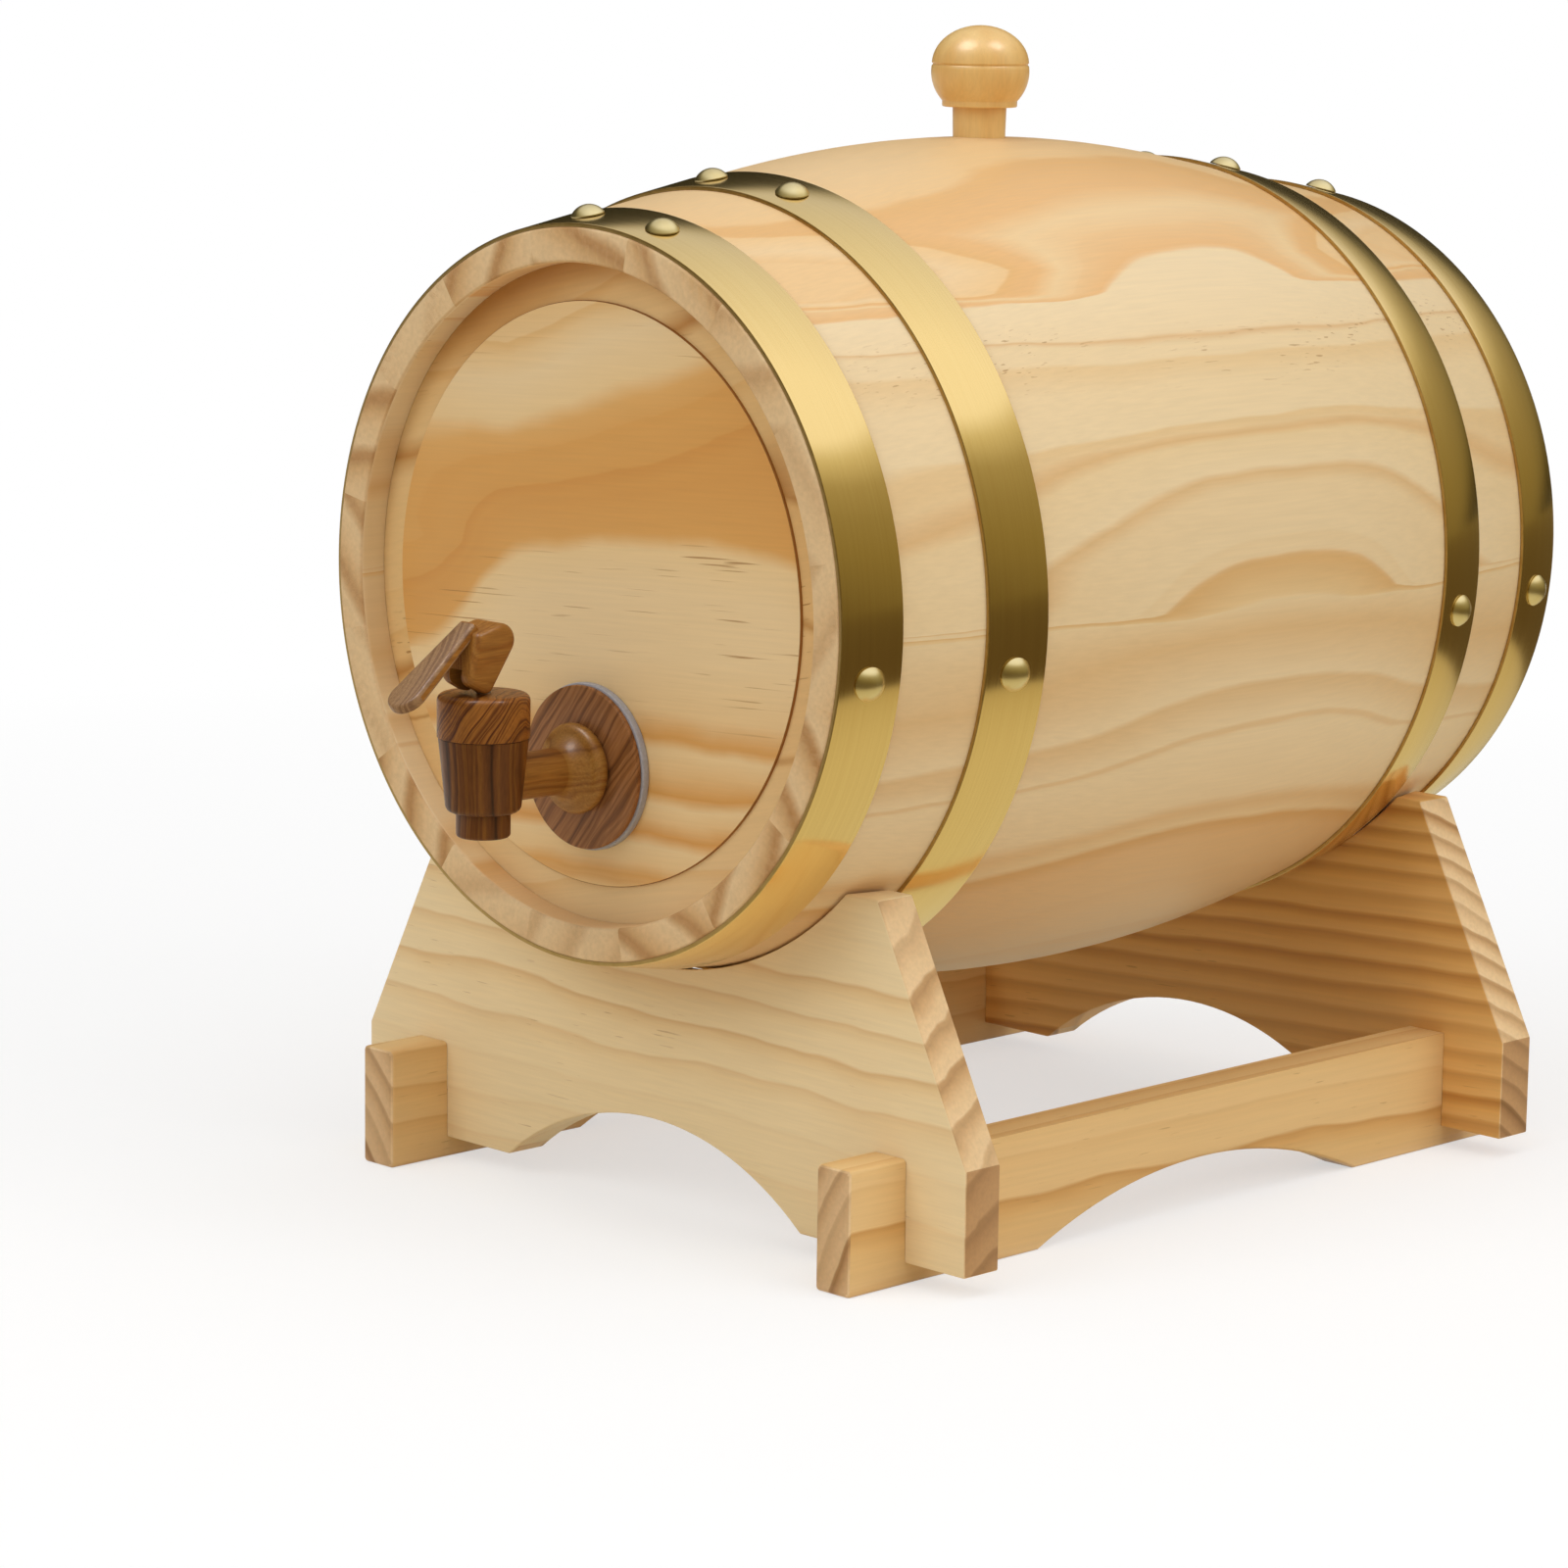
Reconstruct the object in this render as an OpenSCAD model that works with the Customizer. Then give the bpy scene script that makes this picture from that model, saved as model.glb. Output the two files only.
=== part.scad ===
// Table-top drinks barrel lying on a stand of two cradle boards and two rails.
// A lever tap stands in the front head and a turned bung closes the top stave.
// The front faces -Y, the floor is at Z = 0, and the origin is under the middle of the whole piece.

/* [Barrel] */
// Length of the barrel over both rims
barrel_length = 228; // [216:1:250]
// Radius of the bare wood at each rim
end_radius = 75.2; // [72:0.1:80]
// Slope of the straight ends of the staves, in degrees
stave_slope = 10.1; // [9:0.1:11]
// Length of the straight part of the staves at each end
straight_length = 60; // [54:1:68]
// Thickness of the staves
stave_thickness = 8; // [7.2:0.1:8.6]
// Number of staves round the barrel
stave_count = 16; // [14:1:18]
// Width of the flat rim at each end
rim_width = 7.1; // [6.6:0.1:7.8]

/* [Heads] */
// Depth of the recess in front of each head, at its edge
recess_depth = 6.4; // [5.5:0.1:8]
// How far the raised panel stands above the bottom of the recess
panel_rise = 1.6; // [1.2:0.1:2.4]
// Small upright step round the raised panel
panel_step = 0.7; // [0.4:0.1:1]
// Width of the bevelled border round the raised panel
border_width = 7.8; // [6:0.1:10]
// Thickness of a head at its middle
head_thickness = 9; // [8:0.1:10]
// Depth of the groove that holds a head
groove_depth = 3; // [2.4:0.1:3.4]
// Thickness of a head where it sits in the groove
tongue_thickness = 4.8; // [4:0.1:5.5]

/* [Hoops] */
// Width of each hoop
hoop_width = 14.6; // [12:0.1:16]
// Thickness of the hoop brass
hoop_thickness = 0.8; // [0.6:0.1:1.2]
// Distance from the rim to the edge of the end hoop
end_hoop_depth = 0.4; // [0:0.1:2]
// Distance from the rim to the edge of the quarter hoop
quarter_hoop_depth = 35.5; // [34:0.1:37]
// Diameter of the domed rivet heads
rivet_diameter = 7; // [5:0.1:8]
// Height of the domed rivet heads
rivet_height = 2.2; // [1.5:0.1:3]
// Diameter of the rivet shanks
rivet_shank = 2.4; // [2:0.1:3]
// How deep the rivets go below the hoop's outer face
rivet_length = 5; // [3:0.1:6]
// Angle of the first lap rivet, counted upwards from the right side
lap_angle = 77.5; // [60:0.5:90]
// Angle between the two lap rivets
lap_spread = 16.5; // [12:0.5:20]
// How far the laps of the rear hoops are turned on from those of the front hoops, in degrees
rear_lap_turn = 4; // [0:0.5:6]
// How far the side rivets lie below the horizontal, in degrees
side_drop = 7; // [0:0.5:9]

/* [Bung] */
// Distance of the bung behind the middle of the barrel
bung_offset = 3.5; // [0:0.5:8]
// Diameter of the bung's knob
knob_diameter = 21.3; // [18:0.1:26]
// Height of the knob's domed cap
cap_height = 8.4; // [6:0.1:12]
// Height of the knob below its groove
bowl_height = 7.8; // [6:0.1:10]
// Depth of the groove round the knob
knob_groove = 0.4; // [0.2:0.1:0.9]
// Diameter of the collar under the knob
collar_diameter = 16.3; // [14:0.1:17]
// Height of the collar under the knob
collar_height = 1.3; // [0.8:0.1:3]
// Diameter of the bung's neck under the collar
neck_diameter = 11.7; // [9:0.1:13]
// Length of neck that shows above the barrel
neck_showing = 6.4; // [3:0.1:12]
// Taper of the neck, in millimetres of diameter per millimetre of length
neck_taper = 0.05; // [0.02:0.01:0.08]
// How far the bung reaches past the inside of the stave
bung_reach = 2; // [1:0.1:5]

/* [Stand] */
// Thickness of the cradle boards
board_thickness = 10; // [8:0.1:11]
// Distance from the rim back to the outer face of a cradle board
board_inset = 22.3; // [19:0.1:23]
// Overall width of a cradle board
board_width = 183; // [172:1:200]
// Width over the tips of a cradle board
tip_width = 131.6; // [126:0.1:140]
// Depth of the cradle's tips below the barrel axis
tip_drop = 56.1; // [50:0.1:60]
// Height at which the sides of the feet turn inwards
foot_height = 26.4; // [22:0.1:30]
// Height of the barrel axis above the floor
axis_height = 133.7; // [128:0.1:150]
// Height of the boards' lower edge above the floor
board_clearance = 4.6; // [2:0.1:7]
// Width of the arch under a board
board_arch_width = 89.8; // [70:0.1:100]
// Height of the arch under a board
board_arch_height = 16.2; // [10:0.1:20]
// Thickness of the rails
rail_thickness = 9.6; // [8:0.1:12]
// Height of the rails
rail_height = 26.1; // [22:0.1:30]
// Distance between the outer faces of the two rails
rail_spread = 150; // [140:1:160]
// How far the rails stand out past the boards
rail_overhang = 16; // [8:0.5:24]
// Length of the arch under a rail
rail_arch_length = 103; // [80:1:120]
// Height of the arch under a rail
rail_arch_height = 11.2; // [6:0.1:12]

/* [Tap] */
// Height of the tap's shank above the lower edge of the raised panel
tap_rise = 24.9; // [22:0.1:30]
// Distance from the flange to the tap's upright axis
tap_reach = 26.5; // [24:0.1:32]
// Diameter of the flange disc
flange_diameter = 34; // [28:0.1:40]
// Thickness of the flange disc
flange_thickness = 1.4; // [1:0.1:3]
// Thickness of the front washer
washer_thickness = 1.8; // [1:0.1:3]
// How far the front washer shows past the flange
washer_margin = 0.4; // [0:0.1:1]
// Diameter of the shank through the head
shank_diameter = 12; // [10:0.1:13]
// Diameter of the waterway in the shank
waterway_diameter = 6.4; // [5:0.1:7]
// Diameter of the tap's neck
tap_neck_diameter = 9.7; // [8.6:0.1:11]
// Diameter of the bell collar against the flange
bell_diameter = 18.9; // [16:0.1:22]
// Length of the bell collar along the shank
bell_length = 7.6; // [6.5:0.1:9]
// Diameter of the tap body at its top
body_top_diameter = 18.4; // [18:0.1:20]
// Diameter of the tap body at its foot
body_foot_diameter = 15.2; // [14.6:0.1:17]
// Height of the tap body above the shank axis
body_rise = 9.1; // [8.6:0.1:11]
// Depth of the tap body below the shank axis
body_depth = 6.1; // [5.8:0.1:8]
// Diameter of the spout
spout_diameter = 11.1; // [10:0.1:13]
// Length of the spout below the body
spout_length = 5.1; // [3:0.1:9]
// Diameter of the outlet
outlet_diameter = 6.8; // [5:0.1:7.2]
// Diameter of the bonnet
bonnet_diameter = 18.9; // [18:0.1:21]
// Height of the bonnet
bonnet_height = 9.1; // [8:0.1:12]
// Width of the backing nut across its flats
nut_width = 22; // [20:0.5:26]
// Thickness of the backing nut
nut_thickness = 7; // [5:0.1:9]
// Diameter of the inner washer
inner_washer_diameter = 24; // [20:0.5:28]
// Thickness of the inner washer
inner_washer_thickness = 2; // [1:0.1:3]

/* [Lever] */
// Diameter of the valve stem
stem_diameter = 3; // [2.6:0.1:3.2]
// Diameter of the eye on top of the stem
eye_diameter = 4.6; // [4.2:0.1:5]
// Diameter of the lever's pin
pin_diameter = 2.2; // [1.8:0.1:2.4]
// Wood left over the blind end of the lever's pin
pin_cover = 1.6; // [1.2:0.1:2]
// How far the paddle hangs below the level, in degrees
paddle_droop = 38; // [34:1:42]
// Angle through which the lever turns from open to shut
lever_throw = 55; // [45:1:58]
// How far the stem drops from open to shut
stem_travel = 3.9; // [3.6:0.1:4]
// Width of the hub
hub_width = 9.4; // [8:0.1:11]
// Width of the slot between the hub's cheeks
slot_width = 3.6; // [3.4:0.1:4]
// Length of the paddle from the pin to its tip
paddle_length = 23.5; // [18:0.1:28]
// How far the paddle reaches back past the pin
paddle_back = 1.6; // [0.5:0.1:2.5]
// Height of the paddle's upper face above the pin
paddle_top = 8.9; // [8.6:0.1:10]
// Thickness of the paddle
paddle_thickness = 2.4; // [1.8:0.1:2.8]
// Width of the paddle at its square end
paddle_root_width = 4.4; // [3:0.1:7]
// Width of the paddle at its rounded tip
paddle_tip_width = 8.4; // [6:0.1:10]

/* [Fits] */
// Room round pieces that are fixed to each other
fit_gap = 0.1; // [0.05:0.01:0.15]
// Room round pieces that turn or slide in each other
run_gap = 0.05; // [0.02:0.01:0.08]
// Room between pieces that part or pass without touching
free_gap = 0.55; // [0.5:0.05:0.8]

/* [Hidden] */
$fn = 96;
cut = 1;

// Shape of the staves
half_length = barrel_length / 2;
bow_half = half_length - straight_length;
bow_radius = bow_half / sin(stave_slope);
shoulder_radius = end_radius + straight_length * tan(stave_slope);
belly_radius = shoulder_radius + bow_radius * (1 - cos(stave_slope));
bow_center = belly_radius - bow_radius;
bow_steps = 24;
stave_pitch = 360 / stave_count;
stave_angle = stave_pitch - atan(run_gap / belly_radius);
rim_radius = end_radius - rim_width;
groove_radius = rim_radius + groove_depth;
groove_back = recess_depth + tongue_thickness + 2 * fit_gap;
inner_belly = belly_radius - stave_thickness;

// Radius of the wood at a depth behind the rim, within the straight part
function wood_radius(depth) = end_radius + depth * tan(stave_slope);

// Bowed part of an outline, from the shoulder at one angle to the opposite shoulder
function bow(radius, from) = [
    for (i = [0 : bow_steps])
        let (a = from * (1 - 2 * i / bow_steps))
            [bow_center + radius * cos(a), radius * sin(a)]
];

// Outline turned end for end, in the opposite order
function turned(points) = [for (i = [len(points) - 1 : -1 : 0]) [points[i][0], -points[i][1]]];

// Quarter round from one angle to another
function arc(center, radius, from, to, steps = 8) = [
    for (i = [0 : steps])
        let (a = from + (to - from) * i / steps)
            center + radius * [cos(a), sin(a)]
];

// Heads
panel_radius = rim_radius - border_width;
panel_depth = recess_depth - panel_rise;
head_back = panel_depth + head_thickness;
back_bevel = 4;

// Hoops and rivets
hoop_wall = hoop_thickness / cos(stave_slope);
hoop_depths = [end_hoop_depth, quarter_hoop_depth];
function rivet_angles(rear) =
    let (lap = lap_angle + (rear ? rear_lap_turn : 0))
        [lap, lap + lap_spread, -side_drop, 180 + side_drop];
rivet_dome = (pow(rivet_diameter / 2, 2) + pow(rivet_height, 2)) / (2 * rivet_height);

// Bung, with heights counted from the barrel axis
neck_top = belly_radius + neck_showing;
bung_bottom = inner_belly - bung_reach;
function neck_radius(height) = neck_diameter / 2 - (neck_top - height) * neck_taper / 2;
knob_radius = knob_diameter / 2;
bowl_base = neck_top + collar_height;
groove_height = bowl_base + bowl_height;

// Tap, with heights counted from the shank axis
tap_drop = panel_radius - tap_rise;
flange_face = half_length - panel_depth + washer_thickness + flange_thickness;
tap_distance = flange_face + tap_reach;
shank_radius = shank_diameter / 2;
shank_hole = shank_radius + fit_gap;
nut_margin = 2;
shank_end = tap_reach + flange_thickness + washer_thickness + head_thickness
    + inner_washer_thickness + nut_thickness + nut_margin;
bonnet_top = body_rise + bonnet_height;
chamber_radius = 5.6;
socket_radius = 7.5;
socket_depth = 5.2;
cup_flange = 1.2;
cup_radius = 4.7;
cup_wall = 1.2;
seat_height = -3.6;
plug_bottom = body_rise - socket_depth + cup_flange + fit_gap;
edge_round = 1.4;

// Lever, in a frame whose first axis runs forward along the paddle from the pin
heel = [5, -1.9];
heel_radius = 2;
chin = [5.8, 1];
chin_radius = 2.4;
crown = [-3.3, 2.3];
crown_radius = 3.5;
brow_radius = 1.4;
brow_lap = 1.1;
brow = [0.5, paddle_top - paddle_thickness + brow_lap - brow_radius];
slot_back = -2.8;
slot_top = 3.3;
slot_length = chin[0] + chin_radius + cut - slot_back;
function heel_drop(angle) = -(heel[1] * cos(angle) - heel[0] * sin(angle)) + heel_radius;
pin_height = bonnet_top + heel_drop(paddle_droop) + free_gap;
lever_reach = paddle_length * cos(paddle_droop) + paddle_top * sin(paddle_droop);

// Places in the whole piece
front_reach = tap_distance + lever_reach;
mid_y = (front_reach - half_length) / 2;
tap_y = mid_y - tap_distance;
tap_z = axis_height - tap_drop;

// Stand
foot_x = board_width / 2;
tip_x = tip_width / 2;
tip_z = axis_height - tip_drop;
rail_x = rail_spread / 2 - rail_thickness;
board_front = board_inset - half_length;
rail_length = 2 * (rail_overhang - board_front);
lap_height = (board_clearance + rail_height) / 2;
function arch_radius(width, height) = (width * width / 4 + height * height) / (2 * height);

stave_names = [for (i = [1 : stave_count - 1]) str("stave_", i)];

pine = "#ecd1a0";
brass = "#c2a24c";
rosewood = "#6b4421";
olive_wood = "#8a6430";
silicone = "#a9a7a8";
steel = "#9b9b9b";
beech = "#e0b176";

// Barrel frame: Z runs along the barrel towards the front, Y points up
module in_barrel() {
    translate([0, mid_y, axis_height]) rotate([90, 0, 0]) children();
}

// Tap frame: the shank axis runs along +Y into the barrel, Z is the tap's upright axis
module in_tap() {
    translate([0, tap_y, tap_z]) children();
}

// Puts children, drawn about Z, along the shank with their start at the tap's upright axis
module along_shank(from = 0) {
    translate([0, from, 0]) rotate([-90, 0, 0]) children();
}

module stave_outline() {
    inner_front = [
        [wood_radius(groove_back) - stave_thickness / cos(stave_slope), half_length - groove_back],
        [groove_radius, half_length - groove_back],
        [groove_radius, half_length - recess_depth],
        [rim_radius, half_length - recess_depth],
        [rim_radius, half_length]
    ];
    outer = concat([[end_radius, half_length]], bow(bow_radius, stave_slope), [[end_radius, -half_length]]);
    inner_bow = bow(bow_radius - stave_thickness, -stave_slope);
    inner = concat(turned(inner_front), inner_bow, inner_front);
    polygon(concat(outer, inner));
}

// Places a child on the wood at a depth behind the rim, with its Z along the surface normal
module on_wood(depth, angle) {
    rotate([0, 0, angle])
        translate([wood_radius(depth), 0, half_length - depth])
            rotate([0, 90 - stave_slope, 0])
                children();
}

// Puts children at the front, or mirrored at the rear
module at_end(rear) {
    mirror([0, 0, rear ? 1 : 0]) children();
}

module rivet_hole(depth, angle) {
    on_wood(depth + hoop_width / 2, angle)
        translate([0, 0, -rivet_length - fit_gap])
            cylinder(r = rivet_shank / 2 + fit_gap, h = rivet_length + rivet_height);
}

module bung_hole() {
    bottom = bung_bottom - cut;
    top = belly_radius + cut;
    translate([0, 0, -bung_offset]) rotate([-90, 0, 0]) translate([0, 0, bottom])
        cylinder(r1 = neck_radius(bottom) + run_gap, r2 = neck_radius(top) + run_gap, h = top - bottom);
}

// Angle brought between -180 and 180
function wrapped(angle) = angle - 360 * round(angle / 360);

// Stave number 0 is the bung stave at the top
module stave(index) {
    middle = 90 + index * stave_pitch;
    reach = stave_pitch / 2 + asin(rivet_shank / end_radius);
    color(pine)
    in_barrel() difference() {
        rotate([0, 0, middle - stave_angle / 2])
            rotate_extrude(angle = stave_angle) stave_outline();
        if (index == 0) bung_hole();
        for (rear = [false, true], angle = rivet_angles(rear))
            if (abs(wrapped(angle - middle)) < reach)
                for (depth = hoop_depths) at_end(rear) rivet_hole(depth, angle);
    }
}

module bung_stave() {
    stave(0);
}

module head_outline() {
    polygon([
        [0, -panel_depth],
        [panel_radius, -panel_depth],
        [panel_radius, -panel_depth - panel_step],
        [rim_radius - fit_gap, -recess_depth - fit_gap],
        [groove_radius - fit_gap, -recess_depth - fit_gap],
        [groove_radius - fit_gap, -recess_depth - fit_gap - tongue_thickness],
        [rim_radius - fit_gap, -recess_depth - fit_gap - tongue_thickness],
        [rim_radius - back_bevel, -head_back],
        [0, -head_back]
    ]);
}

module head(rear) {
    color(pine)
    in_barrel() at_end(rear) translate([0, 0, half_length]) rotate_extrude() head_outline();
}

module front_head() {
    color(pine)
    difference() {
        head(false);
        in_tap() along_shank(tap_reach) cylinder(r = shank_hole, h = shank_end);
    }
}

module rear_head() {
    head(true);
}

module hoop(depth, rear) {
    end = depth + hoop_width;
    color(brass)
    in_barrel() at_end(rear) difference() {
        rotate_extrude() polygon([
            [wood_radius(depth) + run_gap, half_length - depth],
            [wood_radius(depth) + run_gap + hoop_wall, half_length - depth],
            [wood_radius(end) + run_gap + hoop_wall, half_length - end],
            [wood_radius(end) + run_gap, half_length - end]
        ]);
        for (angle = rivet_angles(rear)) rivet_hole(depth, angle);
    }
}

module front_end_hoop() {
    hoop(end_hoop_depth, false);
}

module front_quarter_hoop() {
    hoop(quarter_hoop_depth, false);
}

module rear_quarter_hoop() {
    hoop(quarter_hoop_depth, true);
}

module rear_end_hoop() {
    hoop(end_hoop_depth, true);
}

module rivet() {
    seat = run_gap + hoop_thickness + run_gap;
    translate([0, 0, seat]) intersection() {
        translate([0, 0, rivet_height - rivet_dome]) sphere(r = rivet_dome);
        cylinder(r = rivet_diameter, h = rivet_height + cut);
    }
    translate([0, 0, -rivet_length]) cylinder(r = rivet_shank / 2, h = rivet_length + seat + rivet_height / 2);
}

module rivets(depth, rear) {
    color(brass)
    in_barrel() at_end(rear)
        for (angle = rivet_angles(rear)) on_wood(depth + hoop_width / 2, angle) rivet();
}

module front_end_rivets() {
    rivets(end_hoop_depth, false);
}

module front_quarter_rivets() {
    rivets(quarter_hoop_depth, false);
}

module rear_quarter_rivets() {
    rivets(quarter_hoop_depth, true);
}

module rear_end_rivets() {
    rivets(end_hoop_depth, true);
}

// Elliptical stretch of the knob, from a height to another, swelling at its middle height
function swell(radius, middle, reach, from, to, steps = 12) = [
    for (i = [0 : steps])
        let (h = from + (to - from) * i / steps)
            [radius * sqrt(max(0, 1 - pow((h - middle) / reach, 2))), h]
];

module bung() {
    bowl_middle = groove_height - bowl_height / 5;
    bowl_reach = bowl_height * 1.25;
    cap_top = groove_height + cap_height;
    color(beech)
    translate([0, mid_y + bung_offset, axis_height])
        rotate_extrude() polygon(concat(
            [
                [0, bung_bottom],
                [neck_radius(bung_bottom), bung_bottom],
                [neck_radius(neck_top), neck_top],
                [collar_diameter / 2, neck_top],
                [collar_diameter / 2, bowl_base]
            ],
            swell(knob_radius, bowl_middle, bowl_reach, bowl_base, groove_height - knob_groove),
            [[knob_radius - knob_groove, groove_height]],
            swell(knob_radius - knob_groove / 4, groove_height, cap_height,
                groove_height + knob_groove, cap_top, 20)
        ));
}

module board_outline() {
    round_radius = arch_radius(board_arch_width, board_arch_height);
    slot_height = lap_height + fit_gap - board_clearance;
    difference() {
        polygon([
            [foot_x, board_clearance], [foot_x, foot_height], [tip_x, tip_z],
            [-tip_x, tip_z], [-foot_x, foot_height], [-foot_x, board_clearance]
        ]);
        translate([0, board_clearance + board_arch_height - round_radius]) circle(r = round_radius, $fn = 180);
        for (side = [-1, 1])
            translate([side * (rail_x + rail_thickness / 2), board_clearance + slot_height / 2 - cut])
                square([rail_thickness + 2 * fit_gap, slot_height + 2 * cut], center = true);
    }
}

// Cradle board: its seat is cut to the taper of the barrel
module cradle(rear) {
    seat_front = board_inset - cut;
    seat_back = board_inset + board_thickness + cut;
    color(pine)
    translate([0, mid_y, 0]) mirror([0, rear ? 1 : 0, 0]) difference() {
        translate([0, board_front + board_thickness, 0]) rotate([90, 0, 0])
            linear_extrude(board_thickness) board_outline();
        translate([0, 0, axis_height]) rotate([90, 0, 0]) translate([0, 0, half_length - seat_back])
            cylinder(
                r1 = wood_radius(seat_back) + free_gap,
                r2 = wood_radius(seat_front) + free_gap,
                h = seat_back - seat_front
            );
    }
}

module front_cradle() {
    cradle(false);
}

module rear_cradle() {
    cradle(true);
}

module rail_outline() {
    round_radius = arch_radius(rail_arch_length, rail_arch_height);
    notch_height = rail_height - lap_height + fit_gap;
    difference() {
        translate([-rail_length / 2, 0]) square([rail_length, rail_height]);
        translate([0, rail_arch_height - round_radius]) circle(r = round_radius, $fn = 180);
        for (end = [-1, 1])
            translate([end * (board_front + board_thickness / 2), rail_height - notch_height / 2 + cut])
                square([board_thickness + 2 * fit_gap, notch_height + 2 * cut], center = true);
    }
}

module rail(side) {
    color(pine)
    translate([side * (rail_x + rail_thickness / 2) - rail_thickness / 2, mid_y, 0])
        rotate([90, 0, 90]) linear_extrude(rail_thickness) rail_outline();
}

module left_rail() {
    rail(-1);
}

module right_rail() {
    rail(1);
}

// Upright turned part of the tap: spout, body and the hollow above
module body_outline() {
    foot = body_foot_diameter / 2;
    spout = spout_diameter / 2;
    spout_round = edge_round / 2;
    polygon(concat(
        [[0, -body_depth - spout_length]],
        arc([spout - spout_round, -body_depth - spout_length + spout_round], spout_round, -90, 0, 4),
        [[spout, -body_depth]],
        arc([foot - edge_round, -body_depth + edge_round], edge_round, -90, 0, 6),
        [[body_top_diameter / 2, body_rise], [0, body_rise]]
    ));
}

// Neck, bell collar and shank, drawn from the tap's upright axis towards the barrel
module neck_outline() {
    neck = tap_neck_diameter / 2;
    bell = bell_diameter / 2;
    lip = 1.8;
    sweep = bell_length - 2 * lip;
    waist = bell - lip;
    polygon(concat(
        [[0, 0], [neck, 0]],
        [
            for (i = [0 : 8])
                let (t = i / 8)
                    [neck + (waist - neck) * t * t, tap_reach - bell_length + sweep * t]
        ],
        arc([waist, tap_reach - lip], lip, -90, 90, 10),
        [[shank_radius, tap_reach], [shank_radius, shank_end], [0, shank_end]]
    ));
}

module tap_body() {
    socket_floor = body_rise - socket_depth;
    color(rosewood)
    in_tap() difference() {
        union() {
            rotate_extrude() body_outline();
            along_shank() rotate_extrude() neck_outline();
        }
        translate([0, 0, socket_floor]) cylinder(r = socket_radius, h = socket_depth + cut);
        translate([0, 0, seat_height]) cylinder(r = chamber_radius, h = socket_floor - seat_height + cut);
        translate([0, 0, -body_depth - spout_length - cut])
            cylinder(r = outlet_diameter / 2, h = body_depth + spout_length + seat_height + 2 * cut);
        along_shank() cylinder(r = waterway_diameter / 2, h = shank_end + cut);
    }
}

module tap_bonnet() {
    outer = bonnet_diameter / 2;
    hollow = cup_radius + free_gap;
    ceiling = body_rise + bonnet_height / 3;
    color(rosewood)
    in_tap() difference() {
        rotate_extrude() polygon(concat(
            [[0, plug_bottom], [socket_radius - fit_gap, plug_bottom]],
            [[socket_radius - fit_gap, body_rise + fit_gap], [outer, body_rise + fit_gap]],
            arc([outer - edge_round, bonnet_top - edge_round], edge_round, 0, 90, 6),
            [[0, bonnet_top]]
        ));
        translate([0, 0, plug_bottom - cut]) cylinder(r = hollow, h = ceiling - plug_bottom + cut);
        cylinder(r = stem_diameter / 2 + run_gap, h = bonnet_top + cut);
    }
}

// Flat ring on the shank, from one distance to another
module shank_ring(from, thickness, diameter) {
    in_tap() along_shank(from) difference() {
        cylinder(d = diameter, h = thickness);
        translate([0, 0, -cut]) cylinder(r = shank_hole, h = thickness + 2 * cut);
    }
}

module tap_flange() {
    color(rosewood) shank_ring(tap_reach, flange_thickness, flange_diameter);
}

module front_washer() {
    color(silicone)
    shank_ring(tap_reach + flange_thickness, washer_thickness, flange_diameter + 2 * washer_margin);
}

module inner_washer() {
    from = tap_reach + flange_thickness + washer_thickness + head_thickness;
    color(silicone) shank_ring(from, inner_washer_thickness, inner_washer_diameter);
}

module backing_nut() {
    from = tap_reach + flange_thickness + washer_thickness + head_thickness + inner_washer_thickness;
    color(rosewood)
    in_tap() along_shank(from) difference() {
        cylinder(d = nut_width / cos(30), h = nut_thickness, $fn = 6);
        translate([0, 0, -cut]) cylinder(r = shank_hole, h = nut_thickness + 2 * cut);
    }
}

// Stem drawn lifted, as it stands when the tap is open
module valve_stem() {
    foot = seat_height + stem_travel + cup_wall;
    color(steel)
    in_tap() difference() {
        union() {
            translate([0, 0, foot]) cylinder(d = stem_diameter, h = pin_height - foot);
            translate([0, 0, pin_height]) rotate([0, 90, 0])
                cylinder(d = eye_diameter, h = stem_diameter, center = true);
        }
        translate([0, 0, pin_height]) rotate([0, 90, 0])
            cylinder(r = pin_diameter / 2 + run_gap, h = eye_diameter, center = true);
    }
}

// Silicone cup, squeezed up by the lifted stem, with its flange under the bonnet
module seat_cup() {
    floor = seat_height + stem_travel;
    flange_under = body_rise - socket_depth + fit_gap;
    bottom_thickness = cup_wall * 2;
    socket = stem_diameter / 2 + fit_gap;
    color(silicone)
    in_tap() rotate_extrude() polygon([
        [0, floor],
        [cup_radius - cup_wall, floor],
        [cup_radius, floor + cup_wall],
        [cup_radius, flange_under],
        [socket_radius - fit_gap, flange_under],
        [socket_radius - fit_gap, flange_under + cup_flange - fit_gap],
        [cup_radius - cup_wall, flange_under + cup_flange - fit_gap],
        [cup_radius - cup_wall, floor + bottom_thickness],
        [socket, floor + bottom_thickness],
        [socket, floor + cup_wall - fit_gap],
        [0, floor + cup_wall - fit_gap]
    ]);
}

// Lever frame: its outline is drawn forward and up from the pin, then hung by the droop
module in_lever() {
    in_tap() translate([0, 0, pin_height]) rotate([paddle_droop, 0, 0]) children();
}

module side_on(width) {
    rotate([90, 0, -90]) linear_extrude(width, center = true) children();
}

module hub_outline() {
    hull() {
        translate(heel) circle(r = heel_radius, $fn = 32);
        translate(chin) circle(r = chin_radius, $fn = 32);
        translate(crown) circle(r = crown_radius, $fn = 32);
        translate(brow) circle(r = brow_radius, $fn = 32);
    }
}

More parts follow.
